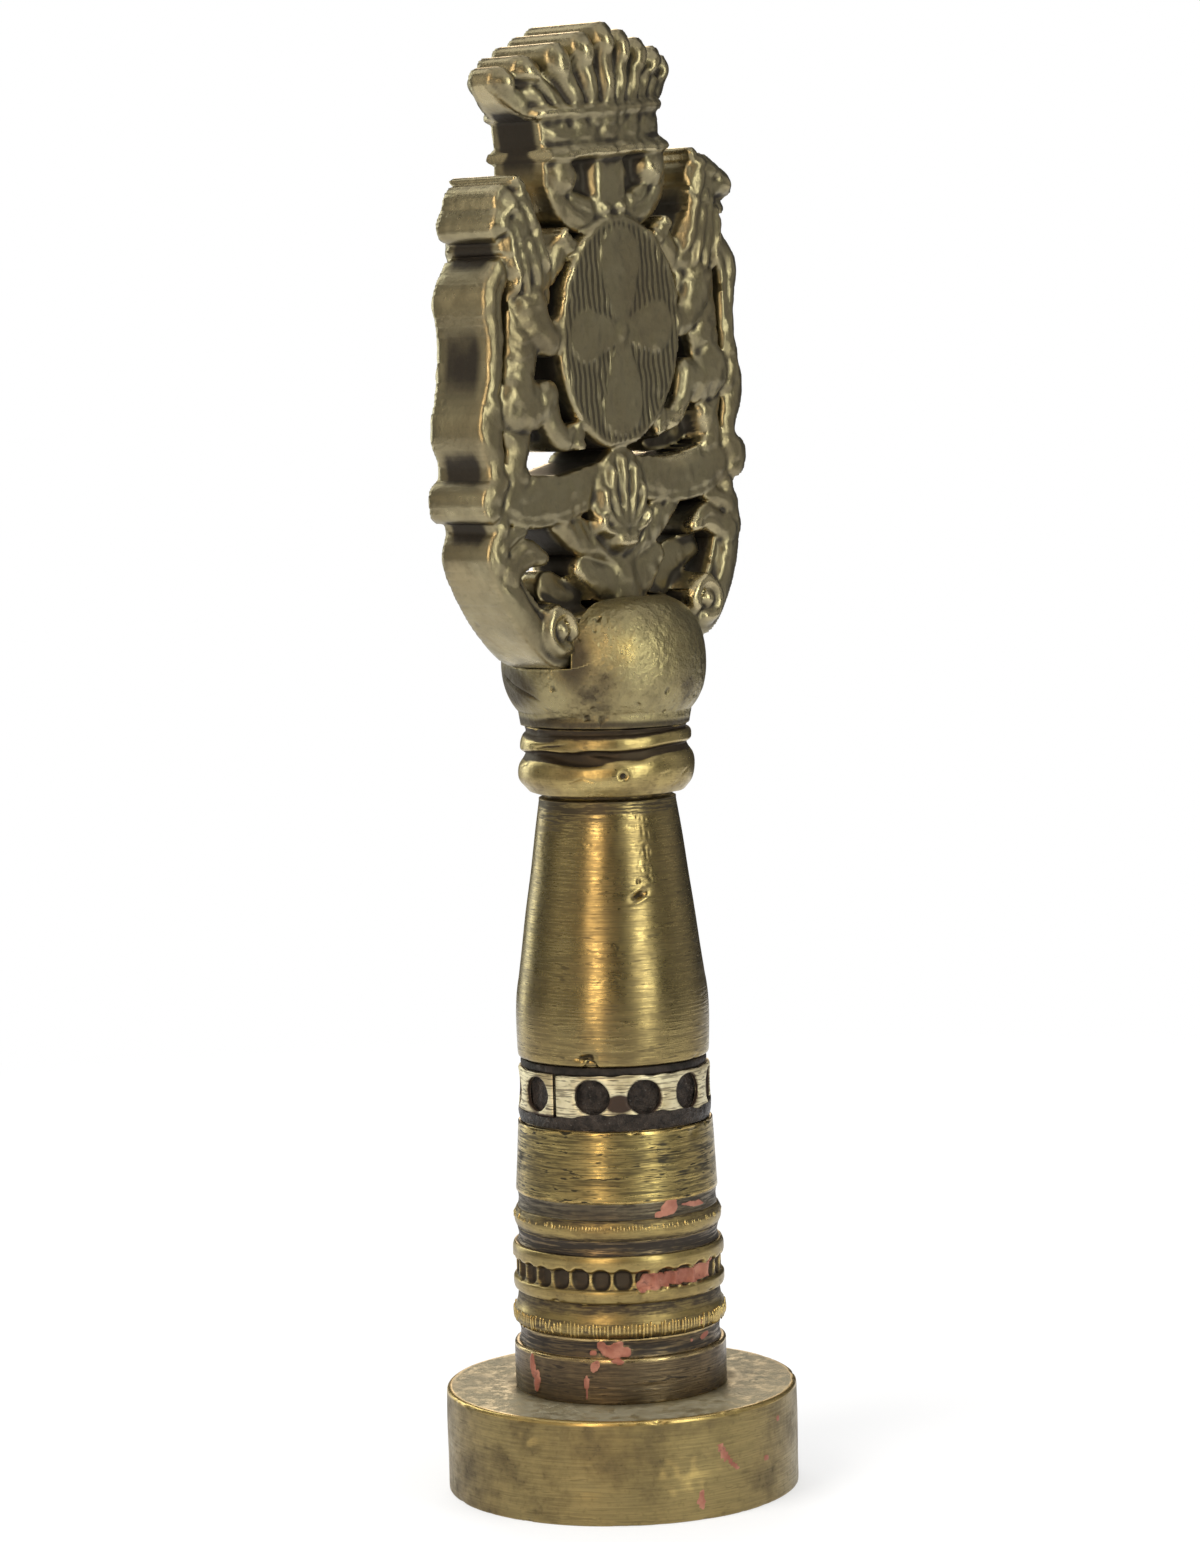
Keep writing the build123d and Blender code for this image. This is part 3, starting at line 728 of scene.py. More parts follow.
class Relief:
    """Height field of the cast ornament, built as a modeller does: strokes laid on and lines cut in."""

    margin = 0.8  # how far round a shape the field is worked
    groove_width = 0.22
    groove_inset = 0.02
    plate_edge = 0.5
    far = 9.0

    def __init__(self, width: float, height: float, step: float) -> None:
        """Starts with nothing laid.

        Args:
            width: full width of the field.
            height: height of the field.
            step: size of its grid.
        """
        self.step = step
        self.across = np.arange(-width / 2, width / 2 + step, step)
        self.up = np.arange(0.0, height + step, step)
        shape = (len(self.up), len(self.across))
        self.height = np.zeros(shape)
        self.gap = np.full(shape, self.far)
        self.edge = np.zeros(shape)

    def window(self, low: Array, high: Array, margin: float) -> tuple[tuple[slice, slice], Array, Array]:
        """The part of the grid round a shape.

        Args:
            low: its left lower corner.
            high: its right upper corner.
            margin: how far round it the part reaches.

        Returns:
            The part and the places of its points.
        """
        i = np.searchsorted(self.up, (low[1] - margin, high[1] + margin))
        j = np.searchsorted(self.across, (low[0] - margin, high[0] + margin))
        part = (slice(*i), slice(*j))
        return part, *np.meshgrid(self.across[part[1]], self.up[part[0]])

    def reach(self, path: Stroke, side: int) -> tuple[tuple[slice, slice], Array, Array]:
        """The part of the grid round a stroke.

        Args:
            path: the stroke.
            side: 1 for its own side and -1 for the mirrored one.

        Returns:
            The part, with the share of the half width and the distance to the edge of each point.
        """
        points = smooth_path(path) * np.array([side, 1, 1])
        margin = points[:, 2].max() + self.margin
        part, across, up = self.window(points[:, :2].min(0), points[:, :2].max(0), margin)
        share, distance = np.full(across.shape, self.far), np.full(across.shape, self.far)
        for x, y, half in points:
            away = np.hypot(across - x, up - y)
            share = np.minimum(share, away / half)
            distance = np.minimum(distance, away - half)
        return part, share, distance

    def lay(self, part: tuple[slice, slice], share: Array, distance: Array, crest: float, fall: float,
            groove: float, outline: bool = True, flat: float = 0.0) -> None:
        """Lays a rounded form on the field.

        Args:
            part: the part of the grid that it covers.
            share: 0 at its middle and 1 at its edge.
            distance: distance to its edge, negative inside.
            crest: height of its middle.
            fall: how much lower its edge is.
            groove: depth of the line that is cut round it.
            outline: whether it counts for the ornament's outline.
            flat: share of its half width that is flat.
        """
        near = np.clip(1 - np.abs(distance) / self.groove_width, 0, 1) * (distance > -self.groove_inset)
        ground = self.height[part] - groove * near * (self.gap[part] < 0)
        slope = np.clip((share - flat) / (1 - flat), 0, 1)
        form = crest - fall * (1 - dome(slope))
        self.height[part] = np.where(share < 1, np.maximum(ground, form), ground)
        if outline:
            closer = distance < self.gap[part]
            self.edge[part] = np.where(closer, crest - fall, self.edge[part])
            self.gap[part] = np.minimum(self.gap[part], distance)

    def stroke(self, path: Stroke, crest: float, fall: float, groove: float, mirrored: bool = True,
               outline: bool = True, flat: float = 0.0) -> None:
        """Lays a rounded stroke, on both sides if mirrored, with the values that lay takes."""
        for side in (1, -1) if mirrored else (1,):
            self.lay(*self.reach(path, side), crest, fall, groove, outline, flat)

    def cut(self, path: Stroke, depth: float, mirrored: bool = True) -> None:
        """Cuts a line into what is there.

        Args:
            path: the line.
            depth: how deep it is.
            mirrored: whether it is cut on both sides.
        """
        for side in (1, -1) if mirrored else (1,):
            part, share, _ = self.reach(path, side)
            self.height[part] -= depth * bowl(share)

    def swell(self, path: Stroke, rise: float, mirrored: bool = True) -> None:
        """Raises what is there.

        Args:
            path: a stroke over it.
            rise: by how much.
            mirrored: whether it is raised on both sides.
        """
        for side in (1, -1) if mirrored else (1,):
            part, share, _ = self.reach(path, side)
            self.height[part] += rise * dome(share)

    def oval(self, middle: Place, half: Place, crest: float, fall: float, groove: float, flat: float) -> None:
        """Lays an oval plate.

        Args:
            middle: its middle.
            half: half its width and half its height.
            crest: height of its middle.
            fall: how much lower its edge is.
            groove: depth of the line round it.
            flat: share of it that is flat.
        """
        part, across, up = self.window(np.subtract(middle, half), np.add(middle, half), self.margin)
        share = np.hypot((across - middle[0]) / half[0], (up - middle[1]) / half[1])
        self.lay(part, share, (share - 1) * min(half), crest, fall, groove, flat=flat)

    def plate(self, low: Place, high: Place, crest: float, fall: float, groove: float,
              flare: float = 0.0) -> None:
        """Lays a four-sided plate.

        Args:
            low: its left lower corner.
            high: its right upper corner.
            crest: height of its middle.
            fall: how much lower its edge is.
            groove: depth of the line round it.
            flare: how much wider it gets upwards.
        """
        part, across, up = self.window(np.array(low), np.array(high), self.margin)
        middle, half = np.add(low, high) / 2, np.subtract(high, low) / 2
        wide = half[0] + flare * (up - middle[1])
        distance = np.maximum(np.abs(across - middle[0]) - wide, np.abs(up - middle[1]) - half[1])
        share = np.clip(1 + distance / self.plate_edge, 0, 2)
        self.lay(part, share, distance, crest, fall, groove)

    def blurred(self, values: Array, spread: float) -> Array:
        """Averages a field inside the outline.

        Args:
            values: the field.
            spread: how widely, in millimetres.

        Returns:
            The averaged field.
        """
        count = int(3 * spread / self.step) + 1
        kernel = np.exp(-0.5 * (np.arange(-count, count + 1) * self.step / spread) ** 2)

        def sweep(grid: Array) -> Array:
            """Averages along both ways of the grid."""
            for axis in (0, 1):
                grid = np.apply_along_axis(np.convolve, axis, grid, kernel, "same")
            return grid

        inside = (self.gap < 0).astype(float)
        return sweep(values * inside) / np.maximum(sweep(inside), 1e-6)


# Nodes


class Wiring:
    """Adds nodes to a tree and joins them."""

    def __init__(self, tree: Tree) -> None:
        """Works on one tree."""
        self.tree = tree

    def set(self, socket: Socket, value: object) -> None:
        """Links a socket to another, or sets its value.

        Args:
            socket: the socket.
            value: an output, a number, a vector or a colour.
        """
        if isinstance(value, Socket):
            self.tree.links.new(value, socket)
        elif socket.type == "RGBA" and len(value) == 3:
            socket.default_value = (*value, 1.0)
        else:
            socket.default_value = value

    def node(self, kind: str, inputs: dict[object, object] | None = None,
             **settings: object) -> bpy.types.Node:
        """Adds a node.

        Args:
            kind: the node's type.
            inputs: socket by name or number, and what it is linked or set to.
            settings: properties of the node.

        Returns:
            The node.
        """
        node = self.tree.nodes.new(kind)
        for label, value in settings.items():
            setattr(node, label, value)
        for label, value in (inputs or {}).items():
            self.set(node.inputs[label], value)
        return node

    def out(self, kind: str, inputs: dict[object, object] | None = None, output: int | str = 0,
            **settings: object) -> Socket:
        """One output of a new node."""
        return self.node(kind, inputs, **settings).outputs[output]

    def math(self, operation: str, first: object, second: object = 0.0, clamp: bool = False) -> Socket:
        """A Math node's result."""
        return self.out("ShaderNodeMath", {0: first, 1: second}, operation=operation, use_clamp=clamp)

    def times(self, first: object, second: object) -> Socket:
        """The product of two values."""
        return self.math("MULTIPLY", first, second)

    def plus(self, first: object, second: object, clamp: bool = False) -> Socket:
        """The sum of two values."""
        return self.math("ADD", first, second, clamp)

    def minus(self, first: object, second: object, clamp: bool = False) -> Socket:
        """The first value less the second."""
        return self.math("SUBTRACT", first, second, clamp)

    def flip(self, value: object) -> Socket:
        """1 less a value."""
        return self.minus(1.0, value)

    def larger(self, first: object, second: object) -> Socket:
        """The larger of two values."""
        return self.math("MAXIMUM", first, second)

    def stray(self, noise: object, gain: float) -> Socket:
        """How far a noise strays from its middle."""
        return self.times(self.minus(noise, 0.5), gain)

    def mix(self, share: object, first: object, second: object, blend: str = "MIX") -> Socket:
        """A colour mixed from two by a share."""
        inputs = {"Factor": share, 6: first, 7: second}
        return self.out("ShaderNodeMix", inputs, 2, data_type="RGBA", blend_type=blend)

    def remap(self, value: object, low: float, high: float, to_low: float = 0.0,
              to_high: float = 1.0) -> Socket:
        """A value taken smoothly from one range to another."""
        inputs = {"Value": value, "From Min": low, "From Max": high, "To Min": to_low, "To Max": to_high}
        return self.out("ShaderNodeMapRange", inputs, interpolation_type="SMOOTHSTEP")

    def noise(self, vector: object, scale: float, detail: float = 3.0, rough: float = 0.55,
              twist: float = 0.0) -> Socket:
        """A noise pattern."""
        inputs = {"Vector": vector, "Scale": scale, "Detail": detail, "Roughness": rough, "Distortion": twist}
        return self.out("ShaderNodeTexNoise", inputs, "Fac")

    def vector(self, operation: str, inputs: dict[object, object], output: int | str = 0) -> Socket:
        """A Vector Math node's result."""
        return self.out("ShaderNodeVectorMath", inputs, output, operation=operation)

    def combined(self, x: object = 0.0, y: object = 0.0, z: object = 0.0) -> Socket:
        """A vector of three values."""
        return self.out("ShaderNodeCombineXYZ", {0: x, 1: y, 2: z})

    def place(self) -> Socket:
        """The Object coordinates."""
        return self.out("ShaderNodeTexCoord", output="Object")

    def mark(self, mark: Mark) -> Socket:
        """The value of a vertex mark."""
        return self.out("ShaderNodeAttribute", output="Fac", attribute_name=mark.value)

    def group(self, tree: Tree, inputs: dict[object, object]) -> bpy.types.bpy_prop_collection:
        """Places a node group and gives its outputs."""
        return self.node("ShaderNodeGroup", inputs, node_tree=tree).outputs

    def surface(self, values: dict[str, object]) -> None:
        """Feeds the inputs of the material's shader."""
        for label, value in values.items():
            self.set(self.tree.nodes["Principled BSDF"].inputs[label], value)

    def bump(self, height: Socket, strength: float, distance: float) -> Socket:
        """A normal bent by a height."""
        return self.out("ShaderNodeBump", {"Strength": strength, "Distance": distance, "Height": height})


class NodeGroup:
    """A node group in the making, with named sockets."""

    def __init__(self, name: str, kind: str, inputs: dict[str, str], outputs: dict[str, str]) -> None:
        """Makes the group and its sockets.

        Args:
            name: the group's name.
            kind: the type of its tree.
            inputs: socket type of each input, by name.
            outputs: socket type of each output, by name.
        """
        self.tree = bpy.data.node_groups.new(name, kind)
        self.names = {}
        for way, sockets in (("INPUT", inputs), ("OUTPUT", outputs)):
            for label, value in sockets.items():
                socket = self.tree.interface.new_socket(label, in_out=way, socket_type="NodeSocket" + value)
                self.names[label] = socket.identifier
        self.entry = self.tree.nodes.new("NodeGroupInput").outputs
        self.exit = self.tree.nodes.new("NodeGroupOutput").inputs
        self.wire = Wiring(self.tree)

    def close(self, **results: Socket) -> Tree:
        """Feeds the group's outputs.

        Args:
            results: what each output gives.

        Returns:
            The group's tree.
        """
        for label, result in results.items():
            self.wire.set(self.exit[label], result)
        return self.tree


class ShaderGroup(NodeGroup):
    """A shader node group, whose Vector input takes coordinates."""

    def __init__(self, name: str, values: Sequence[str], colours: Sequence[str],
                 outputs: dict[str, str]) -> None:
        """Makes the group.

        Args:
            name: the group's name.
            values: names of the inputs that take a number.
            colours: names of the inputs that take a colour.
            outputs: socket type of each output, by name.
        """
        inputs = {"Vector": "Vector", **dict.fromkeys(values, "Float"), **dict.fromkeys(colours, "Color")}
        super().__init__(name, "ShaderNodeTree", inputs, outputs)


class Effects:
    """The shader effects that several finishes share, each built once."""

    def __init__(self) -> None:
        """Builds the groups."""
        self.patina = self.make_patina()
        self.turned = self.make_turned()
        self.pitted = self.make_pitted()
        self.waxed = self.make_waxed()

    def make_patina(self) -> Tree:
        """Brass: bright where rubbed bare and where a highlight is painted, olive elsewhere, brown in the
        hollows (patina, and painted shade on the finial), in soft patches.

        Returns:
            The group's tree.
        """
        group = ShaderGroup("aged_brass_patina", ("Worn", "Hollow", "Patches", "Gloss"),
                            ("Bright", "Middle", "Dark"),
                            {"Color": "Color", "Roughness": "Float", "Tarnish": "Float"})
        wire, entry = group.wire, group.entry
        broad = wire.noise(entry["Vector"], 150.0, 5.0, 0.6, 0.4)
        cloud = wire.noise(entry["Vector"], 420.0, 4.0, 0.65)
        fine = wire.noise(entry["Vector"], 2600.0, 3.0, 0.6)
        blotch = wire.remap(wire.plus(wire.times(broad, 0.6), wire.times(cloud, 0.4)), 0.44, 0.66)
        speckle = wire.remap(fine, 0.52, 0.75, 0.0, 0.35)
        patches = entry["Patches"]
        tarnish_and_shade = wire.plus(wire.times(blotch, patches), wire.times(speckle, patches), True)
        hollow = wire.plus(entry["Hollow"], wire.stray(cloud, 0.5))
        # The hollow mark darkens like tarnish: patina and dirt, and painted shade where the finial carries
        # it.
        tarnish_and_shade = wire.larger(tarnish_and_shade, wire.remap(hollow, 0.06, 0.62))
        # The bright colour serves rubbed metal and painted highlights alike.
        patchy_wear_and_sheen = wire.times(entry["Worn"], wire.remap(cloud, 0.28, 0.62, 0.35, 1.15))
        worn = wire.remap(patchy_wear_and_sheen, 0.08, 0.55)
        tarnish_and_shade = wire.times(tarnish_and_shade, wire.flip(wire.times(worn, 0.85)))
        base = wire.mix(worn, entry["Middle"], entry["Bright"])
        warm = wire.times(wire.remap(broad, 0.35, 0.7), 0.25)
        base = wire.mix(warm, base, (1.0, 0.82, 0.62), "MULTIPLY")
        rough = wire.plus(entry["Gloss"], wire.times(tarnish_and_shade, 0.26))
        rough = wire.plus(rough, wire.stray(fine, 0.16))
        rough = wire.minus(rough, wire.times(worn, 0.08), True)
        return group.close(Color=wire.mix(tarnish_and_shade, base, entry["Dark"]), Roughness=rough, Tarnish=tarnish_and_shade)

    def make_turned(self) -> Tree:
        """Fine lines that run round the axis, as a lathe or a strip of emery leaves.

        Returns:
            The group's tree.
        """
        group = ShaderGroup("turning_lines", ("Length",), (),
                            dict.fromkeys(("Height", "Tone", "Scratch"), "Float"))
        wire, entry = group.wire, group.entry
        x, y, z = wire.node("ShaderNodeSeparateXYZ", {0: entry["Vector"]}).outputs
        turn = wire.math("ARCTAN2", y, x)
        cosine, sine = wire.math("COSINE", turn), wire.math("SINE", turn)
        lines = []
        for around, along in ((2.2, 6200.0), (5.5, 9500.0), (9.5, 4700.0)):
            ring = wire.math("DIVIDE", around, entry["Length"])
            spot = wire.combined(wire.times(cosine, ring), wire.times(sine, ring), wire.times(z, along))
            lines.append(wire.noise(spot, 1.0, 2.0, 0.6))
        height = wire.math("DIVIDE", wire.plus(wire.plus(lines[0], lines[1]), lines[2]), 3.0)
        scratch = wire.remap(lines[2], 0.58, 0.68)
        return group.close(Height=height, Tone=wire.remap(height, 0.41, 0.58), Scratch=scratch)

    def make_pitted(self) -> Tree:
        """Small casting pits and grain.

        Returns:
            The group's tree.
        """
        group = ShaderGroup("casting_pits", ("Amount",), (), {"Height": "Float", "Pit": "Float"})
        wire, vector = group.wire, group.entry["Vector"]
        shift = wire.out("ShaderNodeTexNoise", {"Vector": vector, "Scale": 900.0}, "Color")
        bent = wire.vector("ADD", {0: vector, 1: wire.vector("SCALE", {0: shift, "Scale": 0.0006})})
        cells = wire.out("ShaderNodeTexVoronoi", {"Vector": bent, "Scale": 900.0, "Randomness": 1.0},
                         "Distance")
        sparse = wire.remap(wire.noise(vector, 330.0), 0.5, 0.68)
        pit = wire.times(wire.times(wire.remap(cells, 0.3, 0.08), sparse), group.entry["Amount"])
        grain = wire.noise(vector, 1500.0, 5.0, 0.62)
        return group.close(Height=wire.minus(wire.times(grain, 0.6), pit), Pit=pit)

    def make_waxed(self) -> Tree:
        """Old red wax: dull pinkish red, scuffed and dusty.

        Returns:
            The group's tree.
        """
        group = ShaderGroup("old_wax", ("Cover",), (), {"Color": "Color", "Mask": "Float", "Height": "Float"})
        wire, vector = group.wire, group.entry["Vector"]
        grain = wire.noise(vector, 1900.0, 4.0, 0.65)
        broad = wire.noise(vector, 700.0)
        ragged = wire.plus(group.entry["Cover"], wire.stray(grain, 0.8))
        mask = wire.remap(wire.plus(ragged, wire.stray(broad, 0.9)), 0.42, 0.58)
        red = wire.mix(wire.remap(broad, 0.35, 0.7), (0.27, 0.085, 0.05), (0.45, 0.195, 0.125))
        red = wire.mix(wire.remap(grain, 0.54, 0.78), red, (0.11, 0.04, 0.03))
        return group.close(Color=red, Mask=mask, Height=grain)


# Finishes


def new_material(name: str) -> tuple[Material, Wiring]:
    """Starts a material.

    Args:
        name: its name.

    Returns:
        The material and the wiring of its nodes.
    """
    material = bpy.data.materials.new(name)
    material.use_nodes = True
    return material, Wiring(material.node_tree)


@dataclass(frozen=True)
class BrassFinish:
    """A brass finish.

    Args:
        name: the material's name.
        bright: colour where the metal is rubbed bare, also used for painted highlights.
        middle: colour of the plain surface.
        dark: colour of tarnished metal, also used for painted shade.
        patches: how much tarnished metal lies in patches.
        gloss: roughness of the clean metal.
        lines: strength of turning lines.
        line_length: how long they are.
        pits: how pitted it is.
        metal: how metallic the plain surface is.
        grain: strength of the grain's bump.
        waxed: whether wax may cling to it.
        dusty: whether dust lies on it.
        hatched: whether fine upright lines are cut in its shield.
        hatch_gap: distance of those lines, in millimetres.
        hatch_lean: how far they lean, in degrees.
    """

    name: str
    bright: Colour = (0.56, 0.41, 0.15)
    middle: Colour = (0.27, 0.20, 0.075)
    dark: Colour = (0.055, 0.040, 0.020)
    patches: float = 0.5
    gloss: float = 0.36
    lines: float = 0.0
    line_length: float = 1.0
    pits: float = 0.0
    metal: float = 0.95
    grain: float = 0.12
    waxed: bool = False
    dusty: bool = False
    hatched: bool = False
    hatch_gap: float = 0.52
    hatch_lean: float = 5.0

    def build(self, effects: Effects) -> Material:
        """Makes the material.

        Args:
            effects: the shared shader groups.

        Returns:
            The material.
        """
        material, wire = new_material(self.name)
        place = wire.place()
        hollow = wire.mark(Mark.HOLLOW)
        if self.lines:
            lines = wire.group(effects.turned, {"Vector": place, "Length": self.line_length})
            hollow = wire.times(hollow, wire.flip(wire.times(lines["Tone"], min(0.75, self.lines))))
        patina = wire.group(effects.patina, {
            "Vector": place, "Worn": wire.mark(Mark.WORN), "Hollow": hollow, "Bright": self.bright,
            "Middle": self.middle, "Dark": self.dark, "Patches": self.patches, "Gloss": self.gloss,
        })
        colour, rough, tarnish_and_shade = patina
        metal = wire.remap(tarnish_and_shade, 0.0, 1.0, self.metal, 0.85 * self.metal)
        height = wire.times(tarnish_and_shade, -0.15)
        if self.lines:
            dull = wire.times(wire.flip(lines["Tone"]), 0.7 * self.lines)
            dull = wire.larger(dull, wire.times(lines["Scratch"], self.lines))
            colour = wire.mix(dull, colour, self.dark)
            rough = wire.plus(rough, wire.times(dull, 0.15))
            height = wire.plus(height, wire.times(lines["Height"], 1.6 * self.lines))
        if self.pits:
            pits = wire.group(effects.pitted, {"Vector": place, "Amount": self.pits})
            colour = wire.mix(wire.times(pits["Pit"], 0.85), colour, self.dark)
            height = wire.plus(height, wire.times(pits["Height"], 1.2))
        if self.hatched:
            cut = self.hatching(wire, place)
            colour = wire.mix(wire.times(cut, 0.7), colour, self.dark)
            height = wire.minus(height, wire.times(cut, 2.5))
        if self.dusty:
            motes = wire.remap(wire.noise(place, 1100.0, 8.0, 0.8), 0.34, 0.6, 0.45, 1.0)
            dust = wire.times(wire.mark(Mark.DUST), motes)
            colour = wire.mix(dust, colour, (0.255, 0.228, 0.155))
            rough = wire.larger(rough, wire.times(dust, 0.8))
            metal = wire.times(metal, wire.flip(dust))
        if self.waxed:
            wax = wire.group(effects.waxed, {"Vector": place, "Cover": wire.mark(Mark.WAX)})
            colour = wire.mix(wax["Mask"], colour, wax["Color"])
            metal = wire.times(metal, wire.flip(wax["Mask"]))
            rough = wire.larger(rough, wire.times(wax["Mask"], 0.6))
            height = wire.plus(height, wire.times(wire.times(wax["Mask"], wax["Height"]), 0.8))
        normal = wire.bump(height, self.grain, 0.0004)
        wire.surface({"Base Color": colour, "Roughness": rough, "Metallic": metal, "Normal": normal})
        return material

    def hatching(self, wire: Wiring, place: Socket) -> Socket:
        """Fine upright lines on the shield.

        Args:
            wire: the material's wiring.
            place: its coordinates.

        Returns:
            1 in the lines and 0 beside them.
        """
        lean = (0.0, math.radians(self.hatch_lean), 0.0)
        leaned = wire.out("ShaderNodeMapping", {"Vector": place, "Rotation": lean})
        across = wire.out("ShaderNodeSeparateXYZ", {0: leaned})
        ridge = wire.math("SINE", wire.times(across, FULL_TURN / (self.hatch_gap * MM)))
        return wire.times(wire.remap(ridge, 0.35, -0.45), wire.mark(Mark.HATCH))


@dataclass(frozen=True)
class PaleStripFinish:
    """The pale strip: cream metal with brown scratches round it and dark tarnished patches between its holes.
    """

    name: str = "pale_strip"
    pale: Colour = (0.74, 0.665, 0.44)
    tan: Colour = (0.42, 0.335, 0.18)
    dark: Colour = (0.045, 0.028, 0.019)

    def build(self, effects: Effects) -> Material:
        """Makes the material.

        Args:
            effects: the shared shader groups.

        Returns:
            The material.
        """
        material, wire = new_material(self.name)
        place = wire.place()
        lines = wire.group(effects.turned, {"Vector": place, "Length": 1.8})
        broad = wire.noise(place, 330.0, 4.0, 0.6)
        colour = wire.mix(wire.remap(broad, 0.42, 0.72), self.pale, self.tan)
        colour = wire.mix(wire.remap(lines["Tone"], 0.4, 0.0, 0.0, 0.65), colour, self.dark)
        colour = wire.mix(wire.times(lines["Scratch"], 0.8), colour, self.dark)
        smoke = wire.remap(wire.plus(wire.mark(Mark.HOLLOW), wire.stray(broad, 0.9)), 0.36, 0.62)
        height = wire.plus(lines["Height"], wire.times(smoke, -0.3))
        wire.surface({
            "Base Color": wire.mix(smoke, colour, self.dark),
            "Roughness": wire.remap(lines["Tone"], 0.0, 1.0, 0.52, 0.38),
            "Metallic": wire.remap(smoke, 0.0, 1.0, 0.55, 0.1),
            "Specular IOR Level": 0.2,
            "Normal": wire.bump(height, 0.3, 0.0003),
        })
        return material


@dataclass(frozen=True)
class DarkFinish:
    """A dark finish: setting pitch, hard leather or iron.

    Args:
        name: the material's name.
        light: its lighter colour.
        dark: its darker colour.
        rough: its roughness.
        coarse: scale of its lumps, per metre.
        bump: strength of its lumps.
        metal: how metallic it is.
        sparkle: how many bright grains it has.
        shine: how strongly it reflects.
    """

    name: str
    light: Colour
    dark: Colour
    rough: float
    coarse: float
    bump: float
    metal: float = 0.0
    sparkle: float = 0.0
    shine: float = 0.22

    def build(self, effects: Effects) -> Material:
        """Makes the material.

        Args:
            effects: the shared shader groups, of which it needs none.

        Returns:
            The material.
        """
        material, wire = new_material(self.name)
        place = wire.place()
        lumps = wire.noise(place, self.coarse, 5.0, 0.65)
        grain = wire.noise(place, 3.1 * self.coarse, 2.0, 0.5)
        colour = wire.mix(wire.remap(lumps, 0.35, 0.68), self.dark, self.light)
        if self.sparkle:
            colour = wire.mix(wire.remap(grain, 0.66, 0.78, 0.0, self.sparkle), colour, (0.45, 0.42, 0.36))
        height = wire.plus(lumps, wire.times(grain, 0.4))
        wire.surface({
            "Base Color": colour,
            "Roughness": wire.remap(lumps, 0.3, 0.7, self.rough + 0.12, self.rough - 0.08),
            "Metallic": self.metal,
            "Specular IOR Level": self.shine,
            "Normal": wire.bump(height, self.bump, 0.0004),
        })
        return material


FINISHES = (
    BrassFinish("die_brass", middle=(0.28, 0.215, 0.09), dark=(0.08, 0.062, 0.034), patches=0.75, gloss=0.34,
                lines=0.45, line_length=2.0, metal=0.9, waxed=True, dusty=True),
    BrassFinish("stud_brass", middle=(0.36, 0.27, 0.10), patches=0.3, gloss=0.32, lines=0.3),
    BrassFinish("dark_brass", (0.52, 0.39, 0.18), (0.18, 0.13, 0.07), (0.045, 0.036, 0.028), patches=0.6,
                gloss=0.28, lines=0.9, line_length=2.0, metal=0.85, waxed=True),
    BrassFinish("ring_brass", (0.60, 0.45, 0.18), (0.36, 0.275, 0.11), (0.06, 0.045, 0.03), gloss=0.32,
                lines=0.35, waxed=True),
    BrassFinish("grey_brass", (0.42, 0.37, 0.23), (0.17, 0.14, 0.09), (0.045, 0.038, 0.030), patches=0.6,
                lines=0.8, line_length=2.0, metal=0.85, waxed=True),
    BrassFinish("band_brass", middle=(0.42, 0.325, 0.125), dark=(0.05, 0.042, 0.026), patches=0.4, gloss=0.25,
                lines=1.15, line_length=2.0),
    BrassFinish("handle_brass", middle=(0.348, 0.27, 0.115), dark=(0.072, 0.056, 0.033), patches=0.35,
                gloss=0.23, lines=0.7, line_length=2.4),
    BrassFinish("collar_brass", middle=(0.44, 0.345, 0.145), dark=(0.05, 0.036, 0.022), patches=0.55,
                gloss=0.28, pits=0.3, lines=0.3, line_length=1.2),
    BrassFinish("knob_brass", middle=(0.315, 0.265, 0.135), dark=(0.078, 0.062, 0.038), patches=1.0,
                gloss=0.29, pits=1.0, grain=0.6),
    BrassFinish("cast_brass", (0.44, 0.375, 0.22), (0.262, 0.225, 0.134), (0.048, 0.04, 0.03), patches=0.45,
                gloss=0.33, pits=0.35, grain=0.2, hatched=True),
    PaleStripFinish(),
    DarkFinish("core_pitch", (0.048, 0.036, 0.028), (0.014, 0.011, 0.009), 0.30, 1500.0, 0.9, sparkle=0.18,
               shine=0.16),
    # The washer's near-black leather is partly painted shadow of the gap under the handle's lip.
    DarkFinish("washer_leather", (0.03, 0.022, 0.017), (0.010, 0.008, 0.006), 0.55, 900.0, 0.5),
    DarkFinish("pin_iron", (0.10, 0.085, 0.065), (0.03, 0.024, 0.018), 0.5, 1800.0, 0.4, metal=0.8),
)


# Geometry nodes


